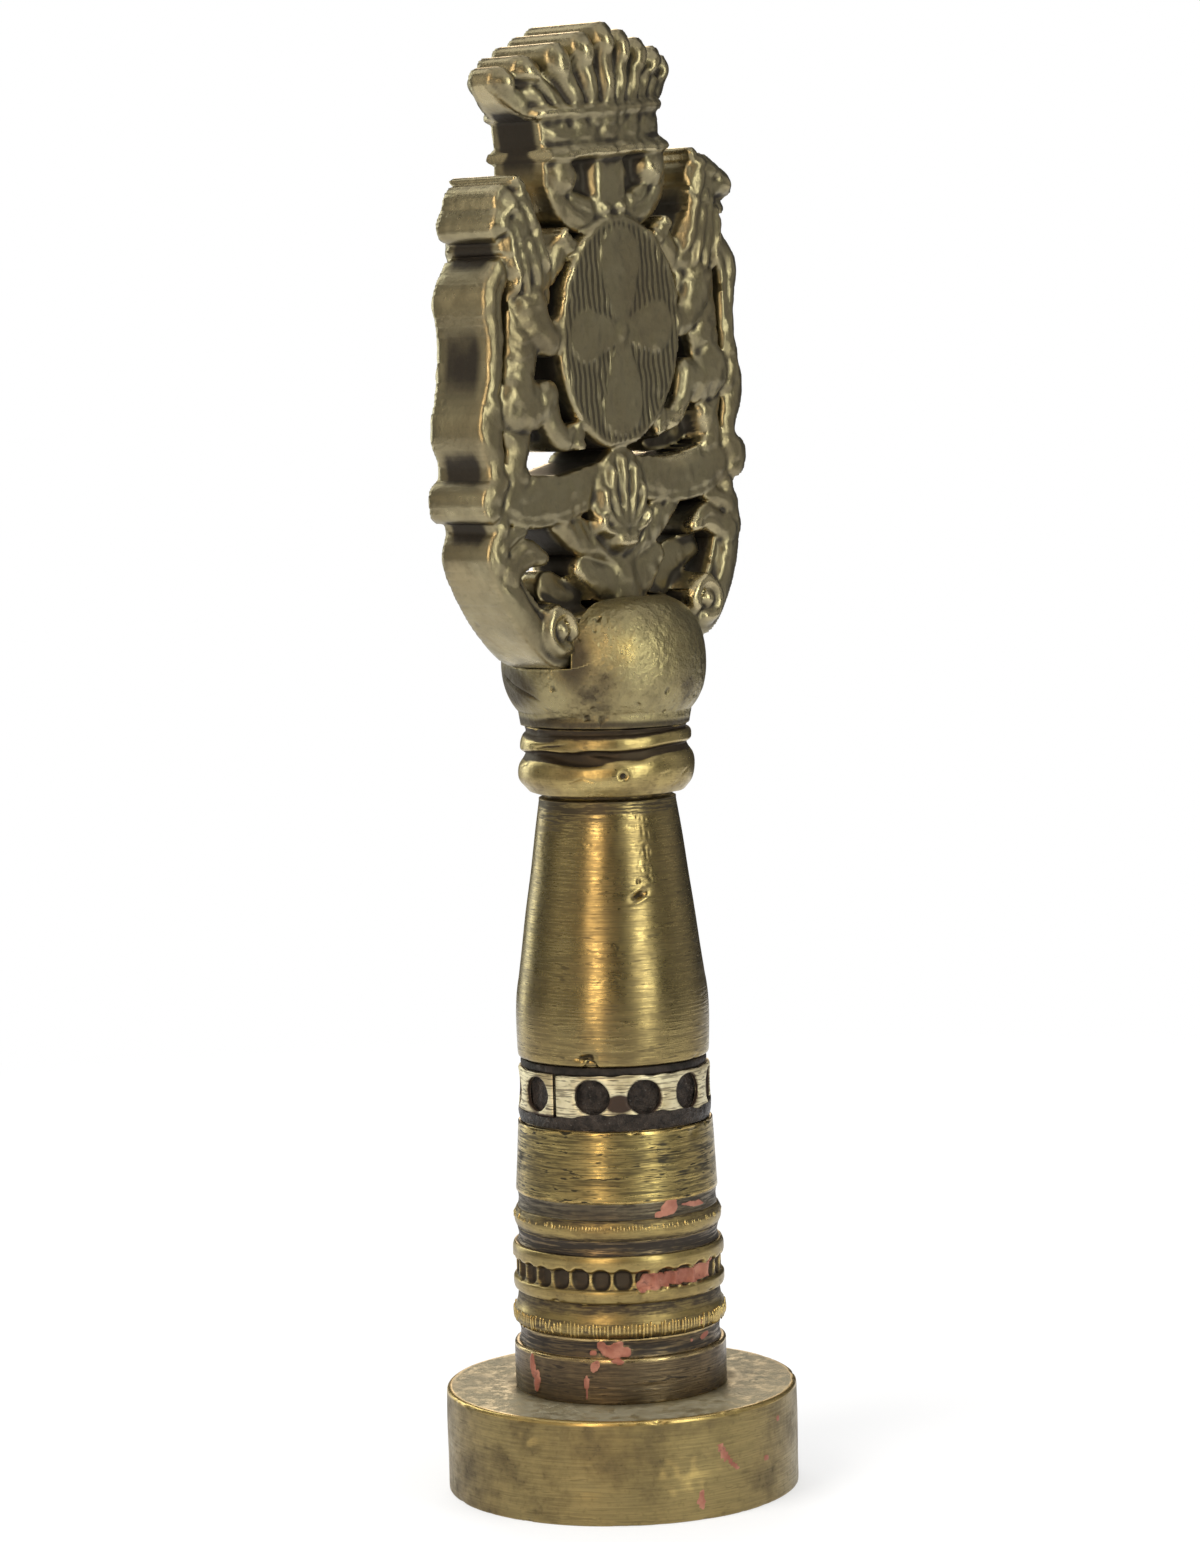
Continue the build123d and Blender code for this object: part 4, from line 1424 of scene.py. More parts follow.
class GeometryTree(NodeGroup):
    """A geometry node tree in the making, with named inputs."""

    def __init__(self, name: str, inputs: dict[str, str]) -> None:
        """Makes the tree and its sockets.

        Args:
            name: the tree's name.
            inputs: socket type of each input, by name.
        """
        inputs = {**inputs, "Finish": "Material"}
        super().__init__(name, "GeometryNodeTree", inputs, {"Geometry": "Geometry"})

    def end(self, geometry: Socket, height: Socket) -> None:
        """Ends the tree: lifted, instances made real, shaded smooth, with the finish set.

        Args:
            geometry: what the tree has made.
            height: how far it is lifted.
        """
        wire = self.wire
        lift = wire.combined(z=height)
        lifted = wire.out("GeometryNodeTransform", {0: geometry, "Translation": lift})
        real = wire.out("GeometryNodeRealizeInstances", {0: lifted})
        smooth = wire.out("GeometryNodeSetShadeSmooth", {0: real})
        finished = wire.out("GeometryNodeSetMaterial", {0: smooth, "Material": self.entry["Finish"]})
        self.close(Geometry=finished)

    def grow(self, name: str, **values: object) -> Piece:
        """Runs the tree and keeps its result as a plain mesh.

        Args:
            name: the new object's name.
            values: value of each named input.

        Returns:
            The object.
        """
        holder = add_object(name + "_holder", bpy.data.meshes.new(name + "_holder"))
        modifier = holder.modifiers.new("nodes", "NODES")
        modifier.node_group = self.tree
        for label, value in values.items():
            modifier[self.names[label]] = value
        mesh = frozen_mesh(holder)
        bpy.data.objects.remove(holder)
        mesh.name = name
        return add_object(name, mesh)


class MillingTree(GeometryTree):
    """Small ridges set round a ring, each a little different."""

    def __init__(self) -> None:
        """Builds the tree."""
        super().__init__("milled_ridges", {
            "Count": "Int", "Radius": "Float", "Height": "Float", "Ridge": "Vector", "Lean": "Float",
            "Stray": "Float", "Seed": "Int",
        })
        wire, entry = self.wire, self.entry
        circle = wire.out("GeometryNodeMeshCircle", {"Vertices": entry["Count"], "Radius": entry["Radius"]})
        outward = wire.out("GeometryNodeInputPosition")
        turn = wire.out("FunctionNodeAlignRotationToVector", {"Vector": outward}, axis="X")
        tilt = wire.out("FunctionNodeEulerToRotation", {0: wire.combined(y=entry["Lean"])})
        turned = wire.out("FunctionNodeRotateRotation", {0: turn, 1: tilt}, rotation_space="LOCAL")
        share = self.drawn((0.65, 0.7, 0.7), (1.2, 1.15, 1.2), entry["Seed"])
        size = wire.vector("MULTIPLY", {0: entry["Ridge"], 1: share})
        shift = self.drawn((-1.0, -1.0, -1.0), (1.0, 1.0, 1.0), wire.plus(entry["Seed"], 5.0))
        offset = wire.vector("SCALE", {0: shift, "Scale": entry["Stray"]})
        spots = wire.out("GeometryNodeSetPosition", {0: circle, "Offset": offset})
        ridge = wire.out("GeometryNodeMeshUVSphere", {"Segments": 8, "Rings": 6, "Radius": 1.0})
        instances = {"Points": spots, "Instance": ridge, "Rotation": turned, "Scale": size}
        self.end(wire.out("GeometryNodeInstanceOnPoints", instances), entry["Height"])

    def drawn(self, low: Triple, high: Triple, seed: Socket) -> Socket:
        """A random vector for each point, between two."""
        inputs = {0: low, 1: high, "Seed": seed}
        return self.wire.out("FunctionNodeRandomValue", inputs, data_type="FLOAT_VECTOR")


class ThreadTree(GeometryTree):
    """A screw thread: a four-sided ridge that follows a spiral and fades out at both ends."""

    def __init__(self) -> None:
        """Builds the tree."""
        inputs = dict.fromkeys(("Turns", "Radius", "Pitch", "Start", "Ridge"), "Float")
        super().__init__("screw_thread", inputs)
        wire, entry = self.wire, self.entry
        spiral = wire.out("GeometryNodeCurveSpiral", {
            "Resolution": 72, "Rotations": entry["Turns"], "Start Radius": entry["Radius"],
            "End Radius": entry["Radius"], "Height": wire.times(entry["Turns"], entry["Pitch"]),
        })
        upright = wire.out("GeometryNodeSetCurveNormal", {0: spiral}, mode="Z_UP")
        share = wire.out("GeometryNodeSplineParameter", output="Factor")
        fade_in = wire.out("ShaderNodeMapRange", {"Value": share, "From Max": 0.05, "To Min": 0.1})
        ending = {"Value": share, "From Min": 1.0, "From Max": 0.95, "To Min": 0.1}
        size = wire.math("MINIMUM", fade_in, wire.out("ShaderNodeMapRange", ending))
        faded = wire.out("GeometryNodeSetCurveRadius", {0: upright, "Radius": size})
        profile = wire.out("GeometryNodeCurvePrimitiveCircle", {"Resolution": 4, "Radius": entry["Ridge"]})
        sweep = {"Curve": faded, "Profile Curve": profile, "Scale": size, "Fill Caps": True}
        self.end(wire.out("GeometryNodeCurveToMesh", sweep), entry["Start"])


# Sub-assemblies


@dataclass
class SubAssembly:
    """A group of pieces, with the finishes by slot and the geometry trees that they are made with."""

    finishes: dict[str, Material]
    milling: MillingTree
    thread: ThreadTree

    def dress(self, piece: Piece, body: Body, slot: str, *nodes: str) -> None:
        """Gives a piece the finish of its slot and its body, and hides the CAD nodes that it stands for.

        Args:
            piece: the piece.
            body: the body it rides on.
            slot: the record's material slot.
            nodes: the CAD nodes it replaces.
        """
        if not piece.data.materials:
            piece.data.materials.append(self.finishes[slot])
        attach(piece, body.value)
        if nodes:
            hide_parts(*nodes)
        LOG.info("%s rides on %s, %d faces", piece.name, body.value, len(piece.data.polygons))

    def finish(self, shell: Shell, name: str, body: Body, slot: str, *nodes: str, spread: int = 5,
               gain: float = 2.6, sharp: float = SHARP) -> None:
        """Makes a piece of a shell and dresses it.

        Args:
            shell: the shell.
            name: the piece's name.
            body: the body it rides on.
            slot: the record's material slot.
            nodes: the CAD nodes it replaces.
            spread: how widely the wear of its edges spreads.
            gain: how strongly they are worn.
            sharp: edges that turn by more degrees are shaded sharp.
        """
        piece = shell.to_object(name, sharp)
        add_curvature(piece, spread, gain)
        self.dress(piece, body, slot, *nodes)

    def cut_thread(self, name: str, body: Body, slot: str, turns: float, radius: float, start: float,
                   ridge: float) -> None:
        """Makes a screw thread and dresses it.

        Args:
            name: the piece's name.
            body: the body it rides on.
            slot: the record's material slot.
            turns: how many turns it has.
            radius: radius of the spiral.
            start: height of its lower end.
            ridge: half width of its ridge.
        """
        piece = self.thread.grow(name, Turns=turns, Radius=radius * MM, Pitch=THREAD_PITCH * MM,
                                 Start=start * MM, Ridge=ridge * MM, Finish=self.finishes[slot])
        self.dress(piece, body, slot)


@dataclass
class SealDie(SubAssembly):
    """The round disc with the engraved seal: a generic rosette in a ring of pits, on its lower face."""

    radius: float = 12.0
    stud_radius: float = 3.55
    edge: float = 0.28
    inset: float = 0.04
    face_edge: float = 0.35
    face_step: float = 0.13
    petals: int = 8
    petal_start: float = 1.9
    petal_length: float = 5.4
    petal_width: float = 2.2
    vein_height: float = 0.2
    vein_half: float = 0.16
    vein_end: float = 0.75
    pits: int = 28
    pit_circle: float = 10.2
    pit_radius: float = 0.55
    lines: Sequence[Triple] = ((8.6, 0.16, 0.2), (11.3, 0.13, 0.15))  # radius, half width and depth
    boss_depth: float = 0.4
    boss_radius: float = 1.2
    engraving: float = 0.5

    def engraved(self, arc: Array, radius: Array) -> Array:
        """Depth of the engraving on the lower face.

        Args:
            arc: polar angles of the places.
            radius: their distances from the axis.

        Returns:
            The depth at each place.
        """
        turn = from_nearest(arc, self.petals)
        along = radius * np.cos(turn) - self.petal_start - self.petal_length / 2
        across = radius * np.sin(turn)
        share = np.hypot(along / (self.petal_length / 2), across / (self.petal_width / 2))
        vein = self.vein_height * np.clip(1 - np.abs(across) / self.vein_half, 0, 1) * (share < self.vein_end)
        petal = dome(share) * self.engraving - vein
        near = from_nearest(arc, self.pits)
        pit = np.hypot(radius * np.sin(near), radius * np.cos(near) - self.pit_circle) / self.pit_radius
        lines = sum(depth * bowl((radius - place) / half) for place, half, depth in self.lines)
        boss = self.boss_depth * bowl(radius / self.boss_radius)
        return np.maximum.reduce([petal, dome(pit) * self.engraving, boss, lines])

    def build(self) -> None:
        """Makes the disc."""
        low, high = level("seal_die")
        wall = self.radius - self.inset
        flat = wall - self.face_edge
        outline = [(AXIS + k * self.face_step, low) for k in range(int(flat / self.face_step))]
        outline += rounded([
            (flat, low, 0), (wall, low, self.edge), (wall + 0.02, high - 2.6, 0.5),
            (wall, high, self.edge), (self.radius - 1.5, high + 0.015, 0.5), (self.stud_radius, high, 0),
        ])
        marks = [Dent(turn, high - 0.05, 0.35, 0.22, 0.12) for turn in (-31.0, 12.0, 38.0, 97.0, 171.0)]
        marks += dents((24.0, 3.6, 1.6, 0.9, 0.07, 0.3), (-12.0, 2.4, 0.8, 0.5, 0.05),
                       (-40.0, 4.6, 0.5, 0.9, 0.06),
                       (140.0, 3.0, 1.2, 0.7, 0.08), (210.0, 4.4, 0.7, 0.6, 0.09))
        wax = smears((33.5, 4.3, 0.45, 0.42, 0.05, -0.9), (37.0, 3.5, 0.5, 0.3, 0.05, -0.8),
                     (25.4, 1.4, 0.26, 0.75, 0.04, -0.3), (53.0, 3.2, 0.35, 0.24, 0.03, -0.3),
                     (60.0, 5.6, 0.3, 0.2, 0.03), (158.0, 5.2, 0.9, 0.5, 0.05, 0.2))
        shell = Turning(outline, Seed.DIE.value, columns=400, step=0.135, wander=0.012, nicks=46, dents=marks,
                        wax=wax).shell()
        arc, radius, height = shell.cylinder()
        face = (height < low + 0.3) & (radius < wall - 0.4)
        depth = self.engraved(arc[face], radius[face])
        shell.points[:, 2] = np.maximum(height, low)
        shell.points[face, 2] = low + depth
        cut = np.zeros(len(height))
        cut[face] = np.clip(depth / self.engraving, 0, 1) * 0.8
        top = ease(shell.points[:, 2], high - 0.2, high - 0.03) * (1 - ease(radius, wall - 0.5, wall - 0.2))
        shell.marks[Mark.DUST] = 0.95 * top * ease(radius, 6.4, 8.6)
        shell.marks[Mark.HOLLOW] = np.maximum(cut, 0.6 * top * (1 - ease(radius, 7.3, 8.8)))
        self.age(shell, ease(radius, wall - 0.4, wall - 0.2) * (1 - top), high)
        self.finish(shell, "seal_disc", Body.BASE, "die_brass", "seal_die")

    def age(self, shell: Shell, side: Array, high: float) -> None:
        """Marks brown stains, rubbed patches and the bright upper edge on the disc's side.

        Args:
            shell: the disc.
            side: 1 for vertices on the side and 0 for the rest.
            high: height of its upper face.
        """
        chance = Chance(Seed.DIE.value + 5)
        stains = smears((-46.0, 4.4, 3.4, 2.8, 0.45), (-62.0, 2.6, 2.4, 2.8, 0.45),
                        (-6.0, 5.2, 2.4, 1.6, 0.4),
                        (-24.0, 1.0, 4.0, 1.2, 0.4), (46.0, 2.2, 2.6, 2.4, 0.4), (120.0, 3.4, 4.0, 2.6, 0.45),
                        (205.0, 3.0, 3.6, 2.6, 0.45), soft=1.4)
        rubs = smears((20.0, 3.1, 3.0, 2.1, 0.4, 0.1, 1.0, 1.1), (-30.0, 5.4, 2.0, 1.0, 0.3, 0.0, 1.0, 1.2),
                      (150.0, 3.6, 2.6, 1.8, 0.35, 0.0, 1.0, 1.2))
        shell.stain(Mark.HOLLOW, stains, self.radius, chance, side)
        shell.raise_mark(Mark.WORN, 0.75 * ease(shell.points[:, 2], high - 0.32, high - 0.12) * side)
        shell.stain(Mark.WORN, rubs, self.radius, chance, side)


@dataclass
class RingStack(SubAssembly):
    """The turned rings between the disc and the pierced strip."""

    bore: float = 3.55
    collar: float = 7.2
    neck: float = 6.9
    bead: float = 7.2
    bead_foot: float = 6.85
    lip: float = 7.2
    recess: float = 6.98
    lower_lip: float = 0.9
    upper_lip: float = 1.1
    scallops: int = 30
    scallop_radius: float = 0.55
    scallop_depth: float = 0.34
    spacer: float = 6.85
    upper_bead: float = 7.05
    upper_neck: float = 6.78
    band_low: float = 6.88
    band_high: float = 6.62
    joint: float = 6.4
    lower_ticks: int = 172
    upper_ticks: int = 205
    tick_stray: float = 0.028
    tick_wear: float = 0.55

    def ring(self, node: str, slot: str, corners: Sequence[Corner], ticks: Place | None = None,
             stains: Sequence[Smear] = (), darkening: float = 0.72, bright: Sequence[float] = (),
             **extra: object) -> None:
        """Makes one ring.

        Args:
            node: the CAD node that it replaces.
            slot: its material slot.
            corners: radius, height above its foot, and rounding of its outer corners.
            ticks: heights above its foot between which it is milled.
            stains: dark stains on it.
            darkening: how dirty it is where it lies deep.
            bright: heights above its foot at which an edge is rubbed bright.
            extra: more settings of the turning.
        """
        low, high = level(node)
        outline = [(self.bore, low, 0), *((r, low + h, b) for r, h, b in corners), (self.bore, high, 0)]
        seed = Seed.RINGS.value + int(low * 10)
        shell = Turning(rounded(outline), seed, **extra).shell()
        _, radius, height = shell.cylinder()
        shell.raise_mark(Mark.HOLLOW, self.grime(radius, height, darkening))
        if ticks:
            start, end = low + ticks[0], low + ticks[1]
            between = ease(height, start - 0.1, start) * (1 - ease(height, end, end + 0.1))
            shell.raise_mark(Mark.HOLLOW, 0.42 * between)
        shell.stain(Mark.HOLLOW, stains, self.band_low, Chance(seed), 1.0)
        for edge in bright:
            shell.raise_mark(Mark.WORN, ease(radius, 6.2, 6.4) * bell(height - low - edge, 0.09))
        self.finish(shell, node + "_turned", Body.BASE, slot, node, spread=4, gain=4.0)

    def grime(self, radius: Array, height: Array, darkening: float) -> Array:
        """Dirt that settles where a place lies deeper than the rings around it.

        Args:
            radius: distances of the places from the axis.
            height: their heights.
            darkening: how much dirt there is.

        Returns:
            The dirt at each place.
        """
        low, high = level("plain_band")
        band = np.interp(height, (low, high), (self.band_low, self.band_high))
        envelope = np.where(height < low - 0.02, self.lip, band)
        return darkening * ease(envelope - radius, 0.06, 0.4)

    def scalloped(self, arc: Array, height: Array) -> Array:
        """Sink of the row of pits in the recess of the scalloped ring, which also bite into its upper lip.

        Args:
            arc: polar angles of the places.
            height: their heights.

        Returns:
            The change of radius at each place.
        """
        step = FULL_TURN / self.scallops
        near = np.mod(arc, step) - step / 2
        wobble = ripples(arc, (0.05, 5, 1.0), (0.04, 13, 0.0))
        middle = level("scalloped_ring")[0] + self.lower_lip + self.scallop_radius + 0.16 + wobble
        share = np.abs(near * self.recess / (self.scallop_radius + 0.1)) ** 2.6
        share += np.abs((height - middle) / (self.scallop_radius + 0.2)) ** 2.6
        return -self.scallop_depth * np.clip(1.6 * (1.0 - share), 0.0, 1.0)

    def build(self) -> None:
        """Makes the rings from the bottom up, then their milling."""
        self.ring("base_collar", "dark_brass", [(self.collar, 0, 0.1), (self.collar + 0.02, 3.1, 0.2)],
                  bright=(3.0,), nicks=10, dents=dents((15.0, 8.2, 1.2, 0.12, 0.04)),
                  wax=smears((-55.0, 9.1, 0.36, 0.85, 0.12, -0.5, 0.6),
                             (-51.5, 8.1, 0.36, 0.95, 0.14, 0.4, 0.6),
                             (-19.0, 8.4, 0.16, 1.2, 0.04), (-14.0, 9.6, 0.3, 0.5, 0.04, 0.6),
                             (-2.0, 9.95, 0.7, 0.22), (150.0, 8.6, 0.5, 0.8, 0.06, 0.3)))
        self.ring("lower_neck_ring", "dark_brass",
                  [(self.neck, 0, 0.05), (self.neck - 0.15, 0.65, 0.6), (self.neck, 1.3, 0.05)],
                  darkening=0.6, bright=(1.25,), nicks=4,
                  wax=smears((-6.0, 10.65, 1.35, 0.55, 0.1, 0.05, 1.5), (3.0, 10.4, 0.5, 0.3, 0.1),
                             (44.0, 10.8, 0.3, 0.3), (57.0, 10.9, 0.5, 0.24, 0.06),
                             (-130.0, 10.7, 0.9, 0.3, 0.06)))
        self.ring("lower_milled_ring", "ring_brass",
                  [(self.bead_foot, 0, 0.05), (self.bead, 0.3, 0.2), (self.bead, 1.05, 0.3), (6.95, 1.5, 0.4),
                   (6.84, 2.4, 0.1)],
                  ticks=(0.1, 1.15), nicks=14, wax=smears((50.0, 12.0, 0.25, 0.2, 0.04)))
        self.scalloped_ring()
        self.ring("spacer_ring", "dark_brass",
                  [(self.spacer, 0, 0.03), (self.spacer - 0.13, 0.45, 0.4), (self.spacer, 1.0, 0.05)],
                  darkening=1.0)
        self.ring("upper_milled_ring", "ring_brass",
                  [(self.spacer, 0, 0.05), (self.upper_bead, 0.4, 0.3), (self.upper_bead, 0.95, 0.3),
                   (self.spacer, 1.4, 0.1)], ticks=(0.85, 1.2), nicks=10)
        self.ring("upper_neck_ring", "grey_brass",
                  [(self.upper_neck, 0, 0.04), (self.upper_neck - 0.1, 0.55, 0.4),
                   (self.upper_neck, 1.1, 0.05)],
                  darkening=0.4, wax=smears((31.0, 20.1, 0.85, 0.75, 0.1, 0.25, 0.7),
                                       (50.0, 20.0, 1.3, 0.2, 0.06, -0.1),
                                       (24.0, 19.6, 0.5, 0.25, 0.06), (-150.0, 20.0, 1.0, 0.3, 0.06)))
        stains = smears((29.0, 23.7, 0.95, 1.5, 0.85, 0.25, 0.45, 0.55),
                        (23.0, 22.3, 1.7, 0.7, 0.85, 0.2, 0.35, 0.9),
                        (40.0, 22.0, 1.3, 1.3, 0.85, 0.0, 0.4, 0.9),
                        (62.0, 23.0, 2.2, 3.0, 0.85, 0.0, 0.3, 1.3),
                        (-74.0, 23.2, 2.2, 3.0, 0.85, 0.0, 0.3, 1.3),
                        (160.0, 23.0, 2.2, 1.6, 0.85, 0.0, 0.4, 0.9))
        self.ring("plain_band", "band_brass", [(self.band_low, 0, 0.1), (self.band_high, 4.8, 0.12)],
                  stains=stains, bright=(0.1, 4.72), nicks=16,
                  dents=dents((24.0, 23.4, 0.5, 0.35, 0.05), (17.0, 22.0, 0.5, 0.3, 0.05),
                              (52.0, 24.8, 0.4, 0.3, 0.12)))
        self.ring("joint_ring", "dark_brass",
                  [(self.joint, 0, 0.05), (self.joint - 0.14, 0.45, 0.3), (self.joint, 0.8, 0.05)])
        self.mill("lower", self.lower_ticks, self.bead - 0.08, 0.62, (0.15, 0.115, 0.52), 6.0)
        self.mill("upper", self.upper_ticks, self.upper_bead - 0.13, 0.95, (0.12, 0.095, 0.26), -28.0)

    def scalloped_ring(self) -> None:
        """Makes the ring with two lips and the row of pits between them."""
        low, high = level("scalloped_ring")
        rise = high - low
        middle = low + 1.45
        corners = [
            (self.lip - 0.1, 0, 0.12), (self.lip, 0.3, 0.15), (self.lip, self.lower_lip - 0.08, 0.14),
            (self.recess, self.lower_lip + 0.05, 0.08), (self.recess, rise - self.upper_lip - 0.05, 0.08),
            (self.lip, rise - self.upper_lip + 0.1, 0.14), (self.lip, rise - 0.3, 0.2),
            (self.lip - 0.12, rise, 0.1),
        ]
        wax = smears((19.0, middle, 1.6, 0.72, 0.24, 0.05, 0.6),
                     (34.0, middle + 0.05, 2.2, 0.72, 0.26, 0.0, 0.6),
                     (52.0, middle + 0.1, 1.8, 0.6, 0.22, 0.1, 0.7), (190.0, middle, 1.2, 0.5, 0.2))
        self.ring("scalloped_ring", "ring_brass", corners, darkening=0.95, columns=600, nicks=18, wax=wax,
                  warp=self.scalloped)

    def mill(self, which: str, count: int, radius: float, up: float, ridge: Triple, lean: float) -> None:
        """Sets the milling ridges on a beaded ring.

        Args:
            which: lower or upper.
            count: how many ridges there are.
            radius: how far out they sit.
            up: how far above the ring's foot they sit.
            ridge: half depth, half width and half height of a ridge.
            lean: how far they lean out, in degrees.
        """
        seed = Seed.MILLING.value + (which == "upper")
        foot = level(which + "_milled_ring")[0]
        piece = self.milling.grow(which + "_milling", Count=count, Radius=radius * MM,
                                  Height=(foot + up) * MM, Ridge=tuple(size * MM for size in ridge),
                                  Lean=math.radians(lean), Stray=self.tick_stray * MM, Seed=seed,
                                  Finish=self.finishes["ring_brass"])
        write_mark(piece.data, Mark.WORN, np.full(len(piece.data.vertices), self.tick_wear))
        self.dress(piece, Body.BASE, "ring_brass")


@dataclass
class PiercedBand(SubAssembly):
    """The pale strip with its round holes, wrapped round a dark core, and the washer above it."""

    radius: float = 6.52
    wall: float = 0.3
    hole: float = 1.2
    holes: int = 11
    smoked: Sequence[int] = (0, 4, 7, 8)
    pitch: float = 31.9
    seam_polar: float = 181.0
    seam: float = 0.26
    first_hole: float = 24.0
    step: float = 0.085
    bore: float = 3.55
    washer_bore: float = 3.62
    washer: float = 6.3

    def build(self) -> None:
        """Makes the strip, the core and the washer."""
        self.strip()
        self.core()
        low, high = level("seat_washer")
        corners = [(self.washer_bore, low, 0), (self.washer, low, 0.12),
                   (self.washer + 0.04, (low + high) / 2, 0.1),
                   (self.washer, high, 0.12), (self.washer_bore, high, 0)]
        washer = Turning(rounded(corners), Seed.BAND.value + 5, step=0.08, wander=0.02).shell()
        self.finish(washer, "seat_washer_pressed", Body.WASHER, "washer_leather", "seat_washer")

    def strip(self) -> None:
        """Makes the strip with its holes, its seam and its smoke stains."""
        low, high = level("pierced_band")
        length, rise = FULL_TURN * self.radius - self.seam, high - low
        columns = np.arange(-0.3, length + 0.3, self.step)
        rows = np.arange(-0.25, rise + 0.25, self.step)
        chance = Chance(Seed.BAND.value)
        across, up = np.meshgrid(columns, rows)
        phases = [(k, chance.uniform(0, FULL_TURN)) for k in (1, 2, 3, 5, 8, 13)]
        wave = sum(0.02 * np.cos(k * across / 3.0 + phase) for k, phase in phases)
        gap = np.maximum(0.02 + 0.6 * wave - up, up - rise + 0.02 + wave)
        gap = np.maximum.reduce([gap, 0.1 * wave - across, across - length + 0.1 * wave])
        near_hole = np.full(gap.shape, 9.0)
        smoke = np.zeros(gap.shape)
        for k in range(self.holes):
            x = across - math.radians(self.first_hole + k * self.pitch) * self.radius
            y = up - rise / 2 - chance.uniform(-0.08, 0.08)
            turn = np.arctan2(y, x)
            oval, lobes = chance.uniform(0, 6), chance.uniform(0, 6)
            size = 1 + 0.02 * np.cos(2 * turn + oval) + 0.01 * np.cos(5 * turn + lobes)
            away = np.hypot(x, y) - size * self.hole
            gap = np.maximum(gap, -away)
            near_hole = np.minimum(near_hole, away)
            if k in self.smoked:
                smoke = np.maximum(smoke, 1.1 * bell(x - 1.9, 1.1, y + 0.4, 0.65))
            smoke = np.maximum(smoke, 0.5 * bell(away, 0.16))
        smoke = np.maximum(smoke, 0.75 * bell(up, 0.3) * (0.5 + 0.5 * np.cos(across / 2.1)))
        front = self.wall + 0.02 * bell(near_hole, 0.15) + 0.18 * wave - 0.07 * bell(np.maximum(-gap, 0), 0.1)
        flat = np.zeros(gap.shape)
        sheet = CutSheet(columns, rows, gap, front, flat + self.wall - 0.09, flat, flat, 3,
                         {Mark.HOLLOW: np.clip(smoke, 0, 1), Mark.WORN: flat},
                         {Mark.HOLLOW: lambda places: np.full(len(places), 0.8)})

        def wrap(places: Array) -> Array:
            """Wraps the strip round the core.

            Args:
                places: places on the flat strip.

            Returns:
                The places on the wrapped one.
            """
            turn = math.radians(self.seam_polar) + (places[:, 0] + self.seam / 2) / self.radius
            out = self.radius - self.wall + places[:, 2]
            return np.stack([out * np.cos(turn), out * np.sin(turn), low + places[:, 1]], axis=1)

        self.finish(sheet.shell(wrap), "pierced_strip", Body.BASE, "pale_strip", "pierced_band", spread=3,
                    gain=0.6, sharp=40.0)

    def squeeze(self, arc: Array, height: Array) -> Array:
        """Wavy upper edge of the pitch that was squeezed out over the strip's lower edge.

        Args:
            arc: polar angles of the places.
            height: their heights.

        Returns:
            The change of height at each place.
        """
        foot = level("joint_ring")[0]
        rise = ripples(arc, (0.16, 1, -polar_of(70.0)), (0.1, 3, 0.6), (0.07, 7, 0.0), (0.05, 17, 2.0),
                       (0.03, 29, 0.0))
        return np.clip(rise, -0.2, 0.4) * ease(height, foot + 0.3, foot + 1.0)

    def lumps(self, arc: Array, height: Array) -> Array:
        """Uneven surface of the setting pitch.

        Args:
            arc: polar angles of the places.
            height: their heights.

        Returns:
            The change of radius at each place.
        """
        chance = Chance(Seed.BAND.value + 3)
        total = np.zeros_like(arc)
        for turns in (9, 17, 26, 41, 63):
            total += np.cos(turns * arc + chance.uniform(-3, 3) * height + chance.uniform(0, 6)) / 5.0
        return 0.05 * total - 0.06

    def core(self) -> None:
        """Makes the lumpy core behind the holes and the pitch squeezed out under the strip."""
        low, high = level("band_core")
        reach = self.radius - self.wall - 0.05
        outline = [(self.bore, low), (reach, low), (reach, high), (self.bore, high)]
        core = Turning(outline, Seed.BAND.value, warp=self.lumps).shell()
        self.finish(core, "band_core_set", Body.BASE, "core_pitch", "band_core")
        foot = level("joint_ring")[0]
        bead = ((6.1, 0.05), (6.46, 0.08), (6.54, 0.5), (6.56, 0.8), (6.55, 1.05), (6.1, 1.1))
        pitch = Turning([(out, foot + up) for out, up in bead], Seed.BAND.value + 4, columns=480, step=0.07,
                        wander=0.02, lift=self.squeeze).shell()
        self.finish(pitch, "squeezed_pitch", Body.BASE, "core_pitch")


@dataclass
class ScrewStud(SubAssembly):
    """The stud that ties the rings together and carries the handle's thread."""

    shank: float = 3.5
    core: float = 2.9
    turns: float = 7.0
    runout: float = 1.0
    ridge: float = 0.56
    tip: float = 0.5

    def build(self) -> None:
        """Makes the stud's core and its thread."""
        low, high = level("tie_stud")
        washer = level("seat_washer")[0]
        corners = [(AXIS, low, 0), (self.shank, low, 0.3), (self.shank, washer, 0.05),
                   (self.core, washer + 0.02, 0.05),
                   (self.core, high - self.tip, 0.1), (self.core - self.tip, high, 0.1), (AXIS, high, 0)]
        core = Turning(rounded(corners), Seed.RINGS.value, columns=160, step=0.3, wander=0.004, nicks=6,
                       ends=Ends.CAPPED).shell()
        self.finish(core, "stud_core", Body.BASE, "stud_brass", "tie_stud")
        start = washer + self.runout
        self.cut_thread("stud_thread", Body.BASE, "stud_brass", self.turns, self.core, start, self.ridge)


